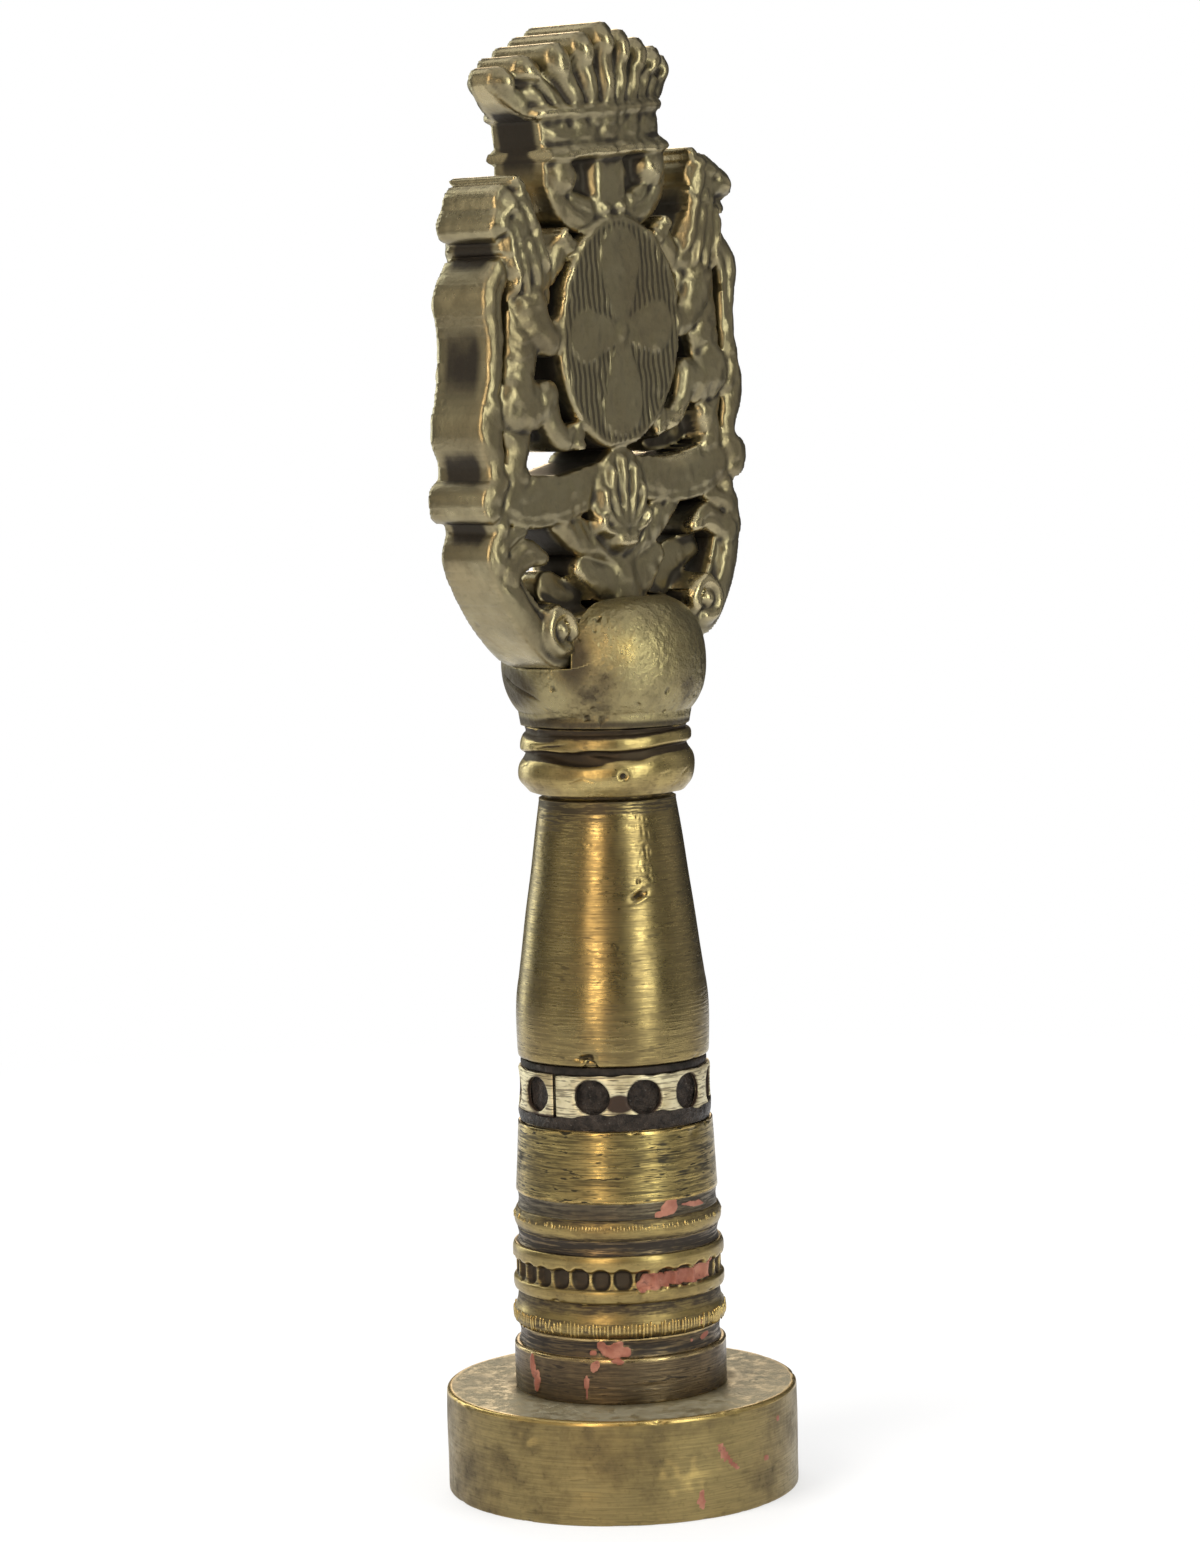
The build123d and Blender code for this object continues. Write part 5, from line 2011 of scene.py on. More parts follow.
@dataclass
class Grip(SubAssembly):
    """The tapered handle, the filed neck collar with its pin, and the slotted knob."""

    lip: float = 6.48
    belly: float = 6.56
    waist: Place = (5.42, 41.6)
    top: float = 4.65
    shoulder: float = 47.2
    neck: float = 4.35
    bore: float = 3.62
    bore_end: float = 41.2
    thread_turns: float = 6.0
    thread_start: float = 30.675
    thread_ridge: float = 0.42
    tenon: float = 2.05
    collar_foot: float = 5.2
    bead: float = 6.0
    groove: float = 5.6
    upper_bead: float = 5.78
    collar_top: float = 5.5
    knob: float = 6.93
    knob_corner: float = 3.3
    slot_half: float = 2.56
    slot_floor: float = 56.85
    slot_lean: float = 0.0872
    curl_notch: Triple = (-7.3, 59.0, 2.5)
    pin_turn: float = 10.4
    pin_height: float = 49.1

    def build(self) -> None:
        """Makes the pieces from the lip up."""
        self.handle()
        self.collar()
        self.pin()
        self.knob_bun()

    def handle(self) -> None:
        """Makes the turned handle with its chip, its casting pit, its scratches and its thread."""
        low, high = level("handle")
        outline = rounded([(self.bore, low, 0), (self.lip - 0.35, low, 0.1), (self.lip, low + 0.12, 0.2),
                           (self.lip + 0.04, low + 0.6, 0.1)])
        outline += bowed((self.lip + 0.05, low + 0.9), (self.belly - 0.02, low + 3.4),
                         (self.belly - 0.24, low + 5.4), 12)
        outline += bowed((self.belly - 0.34, low + 6.2), self.waist, (self.top, self.shoulder - 0.2), 60)
        outline += rounded([(self.top, self.shoulder, 0), (self.neck + 0.02, self.shoulder + 0.15, 0.1),
                            (self.neck, high, 0.05), (self.tenon, high, 0),
                            (self.tenon, self.bore_end + 1.8, 0), (self.bore, self.bore_end, 0)])
        chance = Chance(Seed.HANDLE.value)
        marks = dents((-15.0, low + 0.2, 0.28, 0.6, 0.42, 0.6), (-17.5, low + 0.72, 0.5, 0.16, 0.34, 0.1),
                      (-12.0, low + 0.1, 0.2, 0.35, 0.3), (21.0, 41.0, 0.5, 0.22, 0.36, 0.3),
                      (21.0, 41.42, 0.7, 0.12, -0.06, 0.3), (21.0, 40.6, 0.7, 0.12, -0.07, 0.3),
                      (21.0, 41.9, 0.12, 0.12, 0.14))
        scratches = scatter(chance, 26, (20.0, 34.0), (41.2, 46.6), (0.05, 0.12), (0.06, 0.3), (0.015, 0.05),
                            (-1.2, 0.4))
        scratches += scatter(chance, 34, (-60.0, 20.0), (42.0, 47.0), (0.15, 0.5), (0.02, 0.05),
                             (0.015, 0.04), (-0.5, 0.2))
        scratches += scatter(chance, 70, ALL_ROUND, (30.2, 46.8), (0.08, 0.5), (0.03, 0.08), (0.01, 0.035),
                             (-0.8, 0.8))
        shell = Turning(outline, Seed.HANDLE.value, columns=350, step=0.1, hidden=4.0, wander=0.012, nicks=10,
                        dents=marks + scratches).shell()
        arc, _, height = shell.cylinder()
        turn = np.degrees(past(arc, 0.0))
        shell.raise_mark(Mark.HOLLOW, 0.85 * ease(height, 43.6, 47.0) * bell(turn + 42.0, 40.0))
        shell.raise_mark(Mark.HOLLOW, ease(height, 46.0, 46.8))
        deep = sum(mark.sink(arc, height, self.belly) for mark in marks if mark.depth > 0.2)
        shell.raise_mark(Mark.HOLLOW, 0.9 * ease(deep, 0.08, 0.26))
        self.finish(shell, "handle_turned", Body.GRIP, "handle_brass", "handle")
        self.cut_thread("handle_thread", Body.GRIP, "handle_brass", self.thread_turns, self.bore + 0.06,
                        self.thread_start, self.thread_ridge)

    def tilt(self, arc: Array, height: Array) -> Array:
        """Uneven filing: the collar's grooves dip to one side and wander.

        Args:
            arc: polar angles of the places.
            height: their heights.

        Returns:
            The change of height at each place.
        """
        low, high = level("neck_collar")
        share = ease(height, low + 0.4, low + 1.6) * (1 - ease(height, high - 0.9, high))
        return -share * ripples(arc, (0.26, 1, -polar_of(-78.0)), (0.05, 3, 1.0), (0.035, 7, 2.0))

    def collar(self) -> None:
        """Makes the filed collar with its two beads."""
        low, high = level("neck_collar")
        corners = [
            (self.tenon, 0, 0), (self.collar_foot, 0, 0.15), (self.bead - 0.15, 0.75, 0.4),
            (self.bead, 1.45, 0.5), (self.bead - 0.08, 2.15, 0.4), (self.groove - 0.05, 2.65, 0.12),
            (self.groove - 0.2, 2.98, 0.08), (self.upper_bead, 3.25, 0.1), (self.upper_bead, 3.7, 0.15),
            (self.collar_top + 0.12, 4.05, 0.12), (self.collar_top - 0.12, 4.2, 0.08),
            (self.collar_top, high - low, 0.05), (self.tenon, high - low, 0),
        ]
        marks = dents((self.pin_turn, self.pin_height, 0.22, 0.22, 0.36),
                      (-4.0, 50.55, 1.3, 0.16, 0.16, -0.16),
                      (24.0, 50.2, 0.7, 0.3, 0.08), (-40.0, 51.2, 1.5, 0.12, 0.14, 0.1),
                      (-26.0, 50.3, 2.3, 0.3, 0.34, -0.14), (-58.0, 51.7, 2.0, 0.3, 0.2, -0.1))
        marks += scatter(Chance(Seed.NECK.value), 46, ALL_ROUND, (48.0, 52.0), (0.1, 0.7), (0.04, 0.1),
                         (0.01, 0.06), (-0.5, 0.5))
        shell = Turning(rounded([(r, low + h, b) for r, h, b in corners]), Seed.NECK.value, step=0.09,
                        wander=0.02, nicks=16, dents=marks, lift=self.tilt).shell()
        _, radius, height = shell.cylinder()
        dirt = 0.8 * ease(self.upper_bead + 0.02 - radius, 0.06, 0.22) * ease(radius, 4.0, 5.0)
        shell.raise_mark(Mark.HOLLOW, dirt * ease(height, low + 0.5, low + 1.5))
        self.finish(shell, "neck_collar_filed", Body.GRIP, "collar_brass", "neck_collar")

    def pin(self) -> None:
        """Makes the small pin whose end shows in the collar's bead."""
        polar, count = polar_of(self.pin_turn), 28
        out, up = np.array([math.cos(polar), math.sin(polar), 0.0]), np.array([0.0, 0.0, 1.0])
        side = np.cross(up, out)
        turns = np.linspace(0.0, FULL_TURN, count, endpoint=False)[:, None]
        circle = np.cos(turns) * side + np.sin(turns) * up
        rings = ((2.2, 0.38), (5.5, 0.38), (5.62, 0.25), (5.8, 0.22), (5.86, 0.12))
        points = np.vstack([deep * out + wide * circle + self.pin_height * up for deep, wide in rings])
        shell = Shell(points, tube_faces(len(rings), count, Ends.CAPPED))
        self.dress(shell.to_object("neck_pin_end"), Body.GRIP, "pin_iron", "neck_pin")

    def knob_bun(self) -> None:
        """Makes the pitted bun, split by the slot that holds the finial's tongue."""
        low, high = level("knob")
        half, seat = (high - low) / 2, self.collar_top + 0.2
        outline = [(AXIS, low), (self.collar_top - 0.2, low), (seat, low + 0.12)]
        for angle in np.linspace(-0.5, 0.5, 48) * math.pi:
            bulge = self.knob - self.knob_corner + self.knob_corner * math.cos(angle)
            rise = half * math.copysign(abs(math.sin(angle)) ** 0.92, math.sin(angle))
            if bulge > seat or angle > 0:
                outline.append((bulge, low + half + rise))
        outline += [(self.knob - self.knob_corner - 0.4, high), (AXIS, high)]
        marks = scatter(Chance(Seed.KNOB.value), 170, ALL_ROUND, (52.6, 60.2), (0.15, 0.6), (0.12, 0.4),
                        (-0.03, 0.06), (-0.8, 0.8))
        marks += [Dent(-74.0 + 3.2 * k, 55.4 - 0.12 * k, 0.7, 0.07, 0.1, -0.45) for k in range(9)]
        marks += [Dent(-40.0 + 4.0 * k, 52.75 + 0.1 * (k % 3), 1.4, 0.08, 0.09, 0.06) for k in range(7)]
        shell = Turning(outline, Seed.KNOB.value, step=0.12, wander=0.03, dents=marks,
                        ends=Ends.CAPPED).shell()
        arc, _, height = shell.cylinder()
        turn = np.degrees(past(arc, 0.0))
        shell.raise_mark(Mark.HOLLOW, 0.75 * bell(turn + 68.0, 28.0, height - 55.0, 1.8))
        shell.raise_mark(Mark.HOLLOW, 0.62 * bell(turn + 17.0, 13.0, height - 57.0, 2.6))
        shell.raise_mark(Mark.HOLLOW, 0.85 * (1 - ease(height, low + 0.1, low + 1.0 - 0.004 * turn)))
        # Painted highlight: a small glint high on the knob's front.
        shell.raise_mark(Mark.WORN, 0.3 * bell(turn - 13.0, 8.0, height - 57.4, 1.2))
        piece = shell.to_object("knob_bun")
        self.split(piece)
        add_curvature(piece)
        self.dress(piece, Body.GRIP, "knob_brass", "knob")

    def split(self, piece: Piece) -> None:
        """Cuts the slot for the finial's tongue, and a notch for its curl, out of the bun.

        Args:
            piece: the bun.
        """
        reach, count = 20.0, 40
        corners = [(x * reach, y * self.slot_half, self.slot_floor + self.slot_lean * x * reach + z * reach)
                   for z in (0, 1) for y in (-1, 1) for x in (-1, 1)]
        faces = [[0, 2, 3, 1], [4, 5, 7, 6], [0, 1, 5, 4], [2, 6, 7, 3], [0, 4, 6, 2], [1, 3, 7, 5]]
        slot = Shell(np.array(corners), faces).to_object("slot_cutter")
        x, z, wide = self.curl_notch
        turns = np.linspace(0.0, FULL_TURN, count, endpoint=False)
        ring = [(x + wide * math.cos(turn), z + 1.15 * wide * math.sin(turn)) for turn in turns]
        ends = [(across, deep, up) for deep in (-9.0, 9.0) for across, up in ring]
        notch = Shell(np.array(ends), tube_faces(2, count, Ends.CAPPED)).to_object("notch_cutter")
        for cutter in (slot, notch):
            cut = piece.modifiers.new(cutter.name, "BOOLEAN")
            cut.operation = "DIFFERENCE"
            cut.solver = "EXACT"
            cut.object = cutter
        mesh = frozen_mesh(piece)
        piece.modifiers.clear()
        piece.data = mesh
        mesh.set_sharp_from_angle(angle=math.radians(SHARP))
        for cutter in (slot, notch):
            bpy.data.objects.remove(cutter)


@dataclass
class Finial(SubAssembly):
    """The cast ornament, the same on both sides: crown, shield, lions, ribbon and scrolls."""

    width: float = 30.4
    height: float = 44.6
    step: float = 0.145
    lean: float = -5.0
    shift: float = 1.0
    floor: float = 56.0
    smoothing: float = 0.16
    waves: int = 26
    wave_height: float = 0.007
    wave_lengths: Place = (0.7, 3.0)
    wave_start: Place = (4.6, 6.0)
    wall_rows: int = 5
    # strength of the painted highlight on the walls' bumps and the painted shade in their notches
    wall_swell: float = 2.4
    shield_middle: Place = (0.0, 22.4)
    shield_half: Place = (6.2, 7.7)
    crown_foot: float = 33.9
    crown_bow: float = 1.7
    crown_half: float = 9.0
    bend: tuple[Sequence[float], Sequence[float]] = (
        (0.0, 3.0, 6.0, 9.0, 12.0, 15.0, 18.5, 22.0, 25.0, 28.0, 33.0, 38.0, 44.0),
        (0.0, -0.25, -0.55, -0.85, -0.8, -0.5, -0.1, 0.2, 0.5, 0.65, 0.65, 0.4, 0.4),
    )

    def build(self) -> None:
        """Models the relief and casts it."""
        relief = Relief(self.width, self.height, self.step)
        self.foot(relief)
        self.ribbon_and_scrolls(relief)
        self.lions(relief)
        self.crown(relief)
        hatch = self.shield(relief)
        self.shell_drop(relief)
        smooth = relief.blurred(relief.height, self.smoothing) + self.casting(relief)
        depth = np.maximum(-relief.gap, 0)
        # Hollows of the relief darken: partly patina, partly painted shade in its crevices.
        hollow = np.clip((relief.blurred(smooth, 0.55) - smooth) / 0.30, 0, 1) * (1 - bell(depth, 0.35))
        worn = np.clip((smooth - relief.blurred(smooth, 0.8)) / 0.42, 0, 1)
        # The band along the outline's edges is a painted highlight; the rest is wear on the high relief.
        worn = np.clip(0.55 * worn + 0.3 * bell(depth, 0.25), 0, 1)
        sheet = CutSheet(relief.across, relief.up, relief.gap, smooth, relief.edge, -smooth, -relief.edge,
                         self.wall_rows, {Mark.HOLLOW: hollow, Mark.WORN: worn, Mark.HATCH: hatch},
                         {Mark.HOLLOW: self.wall_painted_shade, Mark.WORN: self.wall_shine}, self.wall_swell)
        spin = np.array(Matrix.Rotation(math.radians(self.lean), 3, "Y"))

        def place(rows: Array) -> Array:
            """Stands the ornament on the slot's floor, leaning.

            Args:
                rows: places on the flat ornament.

            Returns:
                The places on the standing one.
            """
            bend = np.interp(rows[:, 1], *self.bend)
            upright = np.stack([rows[:, 0] + self.shift + bend, -rows[:, 2], rows[:, 1]], axis=1)
            return upright @ spin.T + np.array([0.0, 0.0, self.floor])

        shell = sheet.shell(place)
        self.finish(shell, "finial_cast", Body.GRIP, "cast_brass", "finial", gain=0.2, sharp=60.0)

    def wall_painted_shade(self, places: Array) -> Array:
        """Painted shade on the walls: most on the sunk tier under the crown.

        Args:
            places: places on the outline.

        Returns:
            The painted shade at each place.
        """
        across, up = np.abs(places[:, 0]), places[:, 1]
        levels = (0.0, 3.0, 8.0, 11.0, 27.0, 36.0, 38.5, 44.0)
        # Painted shade, darkest on the sunk tier under the crown.
        darkening = np.interp(up, levels, (0.2, 0.1, 0.14, 0.3, 0.3, 0.2, 0.06, 0.0))
        sunk = ease(up, 29.5, 31.0) * (1 - ease(up, 36.4, 37.6)) * (1 - ease(across, 7.2, 8.0))
        return np.maximum(darkening, 0.72 * sunk)

    def wall_shine(self, places: Array) -> Array:
        """Painted highlight on the walls by place on the outline: most on the crown's leaves and the lower
        curls.
        """
        levels = (0.0, 3.0, 7.0, 10.0, 37.0, 39.0, 44.0)
        return np.interp(places[:, 1], levels, (0.1, 0.2, 0.12, 0.0, 0.0, 0.45, 0.6))

    def casting(self, r: Relief) -> Array:
        """Slightly uneven surface that the casting left.

        Args:
            r: the relief.

        Returns:
            The change of height at each grid point.
        """
        chance = Chance(Seed.FINIAL.value)
        across, up = np.meshgrid(r.across, r.up)
        total = np.zeros_like(across)
        for _ in range(self.waves):
            turn, length = chance.uniform(0.0, FULL_TURN), chance.uniform(*self.wave_lengths)
            along = across * math.cos(turn) + up * math.sin(turn)
            phase = chance.uniform(0.0, FULL_TURN)
            total += self.wave_height * math.sqrt(length) * np.cos(FULL_TURN / length * along + phase)
        return total * ease(up, *self.wave_start)

    def foot(self, r: Relief) -> None:
        """Tongue in the knob's slot, stem, lower volutes and leaves.

        Args:
            r: the relief.
        """
        r.plate((-6.4, 0.7), (4.4, 4.3), 2.45, 0.15, 0.0)
        r.stroke([(0, 9.4, 1.7), (0, 6.4, 1.4), (0, 2.6, 2.0)], 2.45, 0.6, 0.0, mirrored=False)
        r.stroke([(12.1, 12.8, 1.2), (11.7, 10.6, 0.85), (12.0, 8.9, 1.25), (11.1, 6.3, 1.3),
                  (9.6, 4.0, 1.35), (7.8, 2.35, 1.35), (5.4, 1.9, 1.1)], 2.5, 0.75, 0.0)
        r.cut([(11.3, 10.6, 0.2), (11.1, 8.8, 0.26), (10.2, 6.4, 0.3), (8.9, 4.4, 0.26), (7.3, 3.2, 0.2)],
              0.45)
        turns = np.linspace(-1.9, 3.4, 9)
        curl = [(7.7 + 1.25 * math.cos(turn), 3.45 + 1.25 * math.sin(turn), 0.55) for turn in turns]
        r.stroke(curl, 2.95, 0.6, 0.3)
        r.stroke([(7.65, 3.4, 0.62), (7.75, 3.5, 0.62)], 3.05, 0.7, 0.25)
        r.stroke([(11.4, 7.8, 0.9), (9.6, 8.9, 1.0), (8.1, 8.4, 0.55)], 2.5, 0.6, 0.3)
        r.cut([(11.0, 8.2, 0.12), (9.6, 8.9, 0.16), (8.6, 8.6, 0.1)], 0.35)
        r.stroke([(11.9, 9.4, 0.5), (10.6, 10.2, 0.6), (9.6, 10.4, 0.35)], 2.45, 0.5, 0.25)
        r.stroke([(0.8, 5.4, 1.5), (2.4, 6.2, 1.4), (3.7, 7.0, 1.0)], 2.2, 0.6, 0.0)
        r.stroke([(1.0, 8.2, 1.2), (3.6, 9.2, 1.25), (5.9, 10.6, 0.85)], 2.35, 0.6, 0.2)
        for k in range(3):
            r.cut([(1.8 + 1.2 * k, 8.2 + 0.6 * k, 0.1), (2.6 + 1.2 * k, 9.6 + 0.5 * k, 0.16)], 0.35)

    def ribbon_and_scrolls(self, r: Relief) -> None:
        """Bare ribbon under the shield, wavy scrolls at both sides and low webs behind the lions' feet.

        Args:
            r: the relief.
        """
        r.stroke([(2.0, 12.6, 1.35), (5.5, 12.0, 1.6), (9.0, 12.2, 1.75), (12.0, 13.0, 1.35)], 2.5, 0.45,
                 0.35, flat=0.55)
        r.cut([(2.6, 13.5, 0.12), (5.6, 13.05, 0.14), (9.0, 13.4, 0.15), (12.3, 13.9, 0.12)], 0.25)
        r.cut([(2.6, 11.6, 0.12), (5.4, 10.95, 0.14), (9.0, 11.0, 0.15), (12.0, 12.0, 0.12)], 0.25)
        r.stroke([(11.6, 13.9, 0.5), (12.7, 13.1, 1.0), (12.7, 12.2, 0.95)], 2.75, 0.6, 0.3)
        r.stroke([(12.2, 13.2, 0.9), (12.2, 15.0, 0.8), (12.7, 17.4, 1.05), (12.3, 20.2, 0.75),
                  (12.1, 23.0, 0.75), (12.3, 25.6, 0.95), (11.3, 27.3, 0.85)], 2.55, 0.65, 0.2)
        r.stroke([(10.4, 18.4, 0.9), (11.7, 17.8, 0.75), (12.5, 18.7, 0.75)], 2.6, 0.6, 0.2)
        r.cut([(12.0, 22.0, 0.1), (12.0, 24.0, 0.18), (12.0, 25.8, 0.2), (11.4, 26.8, 0.12)], 0.4)
        r.stroke([(5.2, 14.9, 1.0), (7.2, 15.1, 1.2), (9.0, 15.3, 0.9)], 1.0, 0.3, 0.0, mirrored=False)
        r.stroke([(4.6, 5.0, 1.3), (6.3, 6.0, 1.3)], 1.0, 0.3, 0.0)
        r.stroke([(6.6, 6.4, 1.3), (8.6, 7.0, 1.0)], 1.0, 0.3, 0.0, mirrored=False)

    def lions(self, r: Relief) -> None:
        """The two lions that hold the shield: legs, body, mane, head and paws.

        Args:
            r: the relief.
        """
        r.stroke([(10.2, 17.8, 1.5), (9.9, 15.8, 1.1), (10.4, 14.4, 0.95), (9.6, 13.9, 0.7)], 2.55, 0.7, 0.25)
        r.stroke([(8.4, 27.4, 1.4), (7.1, 26.7, 1.1), (6.0, 27.4, 0.85), (5.1, 28.5, 0.95)], 2.6, 0.7, 0.3)
        r.stroke([(8.9, 28.0, 1.5), (8.6, 25.8, 2.1), (9.1, 23.0, 1.75), (9.7, 20.6, 1.5), (9.9, 18.6, 1.8)],
                 2.75, 0.9, 0.3)
        for k in range(3):
            r.cut([(8.4 + 0.35 * k, 23.6 - 1.05 * k, 0.1), (9.6 + 0.3 * k, 23.3 - 1.05 * k, 0.2),
                   (10.4 + 0.25 * k, 23.7 - 1.05 * k, 0.12)], 0.22)
        r.stroke([(10.0, 18.8, 1.9), (8.5, 18.3, 1.55), (7.3, 18.8, 1.15)], 3.0, 0.95, 0.35)
        r.stroke([(7.3, 18.8, 1.1), (6.8, 17.1, 0.85), (5.8, 16.0, 0.85), (4.5, 16.0, 0.9)], 2.85, 0.75, 0.2)
        r.stroke([(8.8, 25.0, 1.5), (7.8, 23.2, 1.2), (6.7, 22.3, 0.95), (5.5, 23.2, 1.0)], 3.0, 0.85, 0.35)
        r.stroke([(10.1, 31.4, 1.5), (9.5, 29.6, 1.6), (8.4, 27.2, 1.9)], 2.85, 0.8, 0.3)
        locks = [
            [(9.7, 33.0, 0.35), (9.0, 31.9, 0.5), (8.4, 30.4, 0.5), (7.8, 29.0, 0.2)],
            [(9.4, 32.0, 0.4), (8.6, 30.6, 0.55), (8.0, 29.1, 0.5), (7.2, 28.0, 0.2)],
            [(9.2, 31.4, 0.4), (8.5, 29.8, 0.6), (7.9, 28.2, 0.55), (7.1, 27.1, 0.2)],
            [(9.7, 30.8, 0.4), (9.3, 29.2, 0.6), (8.6, 27.6, 0.55), (8.1, 26.2, 0.2)],
            [(10.2, 30.3, 0.35), (10.0, 28.8, 0.55), (9.5, 27.2, 0.5), (9.3, 25.8, 0.2)],
            [(10.7, 29.6, 0.3), (10.6, 28.2, 0.45), (10.3, 26.9, 0.4), (10.3, 25.8, 0.18)],
        ]
        for number, lock in enumerate(locks):
            r.stroke(lock, 3.05 + 0.05 * (number % 2), 0.45, 0.3)
        self.head(r, 1, 1.0, 0.0)
        self.head(r, -1, 0.62, 1.0)
        for x, y, dx, dy in ((5.1, 28.5, -0.55, 0.55), (5.5, 23.2, -0.6, 0.5), (4.5, 16.0, -0.75, -0.1)):
            for k in (-1, 0, 1):
                toe = (x - 0.75 * k * dy, y + 0.75 * k * dx)
                r.stroke([(*toe, 0.38), (toe[0] + 0.7 * dx, toe[1] + 0.7 * dy, 0.34)], 2.95, 0.45, 0.2)

    def head(self, r: Relief, side: int, length: float, drop: float) -> None:
        """One lion's head in profile: muzzle, brow, eye, mouth and ear.

        Args:
            r: the relief.
            side: 1 for the right lion and -1 for the left one.
            length: length of the muzzle, as a share of the right lion's.
            drop: how much lower it is held than the right lion's.
        """

        def at(x: float, y: float, half: float) -> Triple:
            """A point of this head."""
            return side * (9.9 + length * (x - 9.9)), y - drop, half

        r.stroke([at(10.4, 30.4, 0.95), at(11.5, 29.7, 0.55)], 2.6, 0.6, 0.2, mirrored=False)
        r.stroke([at(9.9, 31.8, 1.7), at(11.0, 31.4, 1.4), at(12.0, 31.1, 1.0)], 2.8, 0.8, 0.3,
                 mirrored=False)
        r.swell([at(11.9, 31.5, 0.7), at(12.2, 31.3, 0.6)], 0.22, mirrored=False)
        r.swell([at(10.2, 32.5, 0.5), at(11.2, 32.1, 0.45)], 0.25, mirrored=False)
        r.cut([at(10.9, 31.75, 0.3), at(11.1, 31.7, 0.28)], 0.4, mirrored=False)
        r.cut([at(10.8, 30.4, 0.1), at(11.6, 30.45, 0.2), at(12.6, 30.3, 0.2)], 0.5, mirrored=False)
        r.stroke([at(9.3, 32.9, 0.55), at(8.9, 33.6, 0.35)], 2.8, 0.5, 0.25, mirrored=False)

    def crown(self, r: Relief) -> None:
        """Crown of leaves on a moulded band, with the sunk tier under it, bowed back at both sides.

        Args:
            r: the relief.
        """
        r.plate((-5.2, 30.6), (5.2, 34.8), 1.75, 0.3, 0.0)
        r.stroke([(1.6, 30.0, 1.4), (4.0, 30.9, 1.3), (5.1, 32.4, 1.1), (5.2, 34.2, 1.0)], 2.6, 0.7, 0.2)
        r.cut([(2.2, 30.2, 0.15), (3.9, 31.0, 0.22), (4.7, 32.4, 0.2), (4.8, 33.6, 0.12)], 0.4)
        r.stroke([(0, 29.6, 1.7), (0, 32.2, 1.75), (0, 34.4, 1.65)], 2.7, 0.5, 0.25, mirrored=False, flat=0.5)
        r.stroke([(0.75, 30.5, 0.55), (0.85, 30.45, 0.55)], 2.95, 0.5, 0.25)
        r.stroke([(4.5, 32.9, 1.25), (4.7, 33.0, 1.3)], 2.95, 0.8, 0.3)
        r.plate((-6.1, self.crown_foot), (6.1, 37.4), 3.0, 0.35, 0.2, flare=0.06)
        r.stroke([(5.2, 37.2, 1.0), (6.9, 38.3, 1.1), (8.4, 39.4, 0.9)], 2.9, 0.6, 0.3)
        r.stroke([(4.4, 37.0, 1.1), (5.8, 38.9, 1.15), (6.7, 40.0, 0.9)], 3.1, 0.7, 0.3)
        r.stroke([(2.6, 37.0, 1.2), (3.5, 39.2, 1.25), (4.2, 40.6, 0.95)], 3.25, 0.7, 0.3)
        r.stroke([(1.2, 37.0, 1.1), (1.6, 39.6, 1.2), (2.0, 41.2, 0.95)], 3.35, 0.7, 0.3)
        r.stroke([(0, 37.0, 1.1), (0, 39.6, 1.2), (0, 41.8, 0.9)], 3.5, 0.7, 0.3, mirrored=False)
        for x, top, lean in ((0.65, 41.0, 0.3), (1.95, 40.4, 1.05), (3.55, 39.6, 1.75), (4.9, 39.1, 2.4)):
            r.cut([(x, 37.6, 0.2), (x + 0.45 * lean, 38.9, 0.3), (x + lean, top, 0.36)], 0.62)
        tips = ((0.0, 41.4, 0.75), (1.95, 40.8, 0.8), (4.1, 40.2, 0.85), (6.45, 39.6, 0.8), (8.1, 39.2, 0.7))
        for x, y, half in tips:
            r.swell([(x, y, half), (x + 0.05, y + 0.05, half)], 0.3 if x else 0.15)
        for rise, half in ((34.45, 0.5), (37.1, 0.42)):
            moulding = [(-6.2, rise, half), (0, rise - 0.15, half), (6.2, rise, half)]
            r.stroke(moulding, 3.4, 0.45, 0.25, mirrored=False, outline=False)
        for k in range(-2, 3):
            r.swell([(2.35 * k - 0.35, 35.75, 0.55), (2.35 * k + 0.35, 35.75, 0.55)], 0.22, mirrored=False)
        bow = self.crown_bow * (r.across / self.crown_half) ** 2
        bow = bow[None, :] * np.clip((r.up - self.crown_foot) / 0.6, 0, 1)[:, None]
        r.height -= bow
        r.edge -= bow

    def shield(self, r: Relief) -> Array:
        """Oval shield: a thin rim, upright hatching and a plain four-petalled flower.

        Args:
            r: the relief.

        Returns:
            How far each grid point is hatched, from 0 to 1.
        """
        middle, half = self.shield_middle, self.shield_half
        r.oval(middle, half, 3.0, 0.5, 0.35, 0.9)
        share = np.hypot(r.across[None, :] / half[0], (r.up[:, None] - middle[1]) / half[1])
        ground = np.clip((0.95 - share) / 0.03, 0, 1)
        r.height -= 0.15 * ground
        flower = np.zeros_like(r.height)
        for across, rise in ((1, 0), (-1, 0), (0, 1), (0, -1)):
            reach, wide = (3.6, 1.9) if across else (4.8, 2.3)
            widths = ((0.15, 0.7), (0.6, 0.72 * wide), (1.0, wide))
            petal = [(out * reach * across, middle[1] + out * reach * rise, width) for out, width in widths]
            part, share, _ = r.reach(petal, 1)
            flower[part] = np.maximum(flower[part], 1 - ease(share, 0.84, 1.0))
        r.height += 0.06 * flower
        boss = [(-0.05, middle[1], 0.75), (0.05, middle[1], 0.75)]
        r.stroke(boss, 3.08, 0.3, 0.06, mirrored=False, outline=False)
        return ground * (1 - flower)

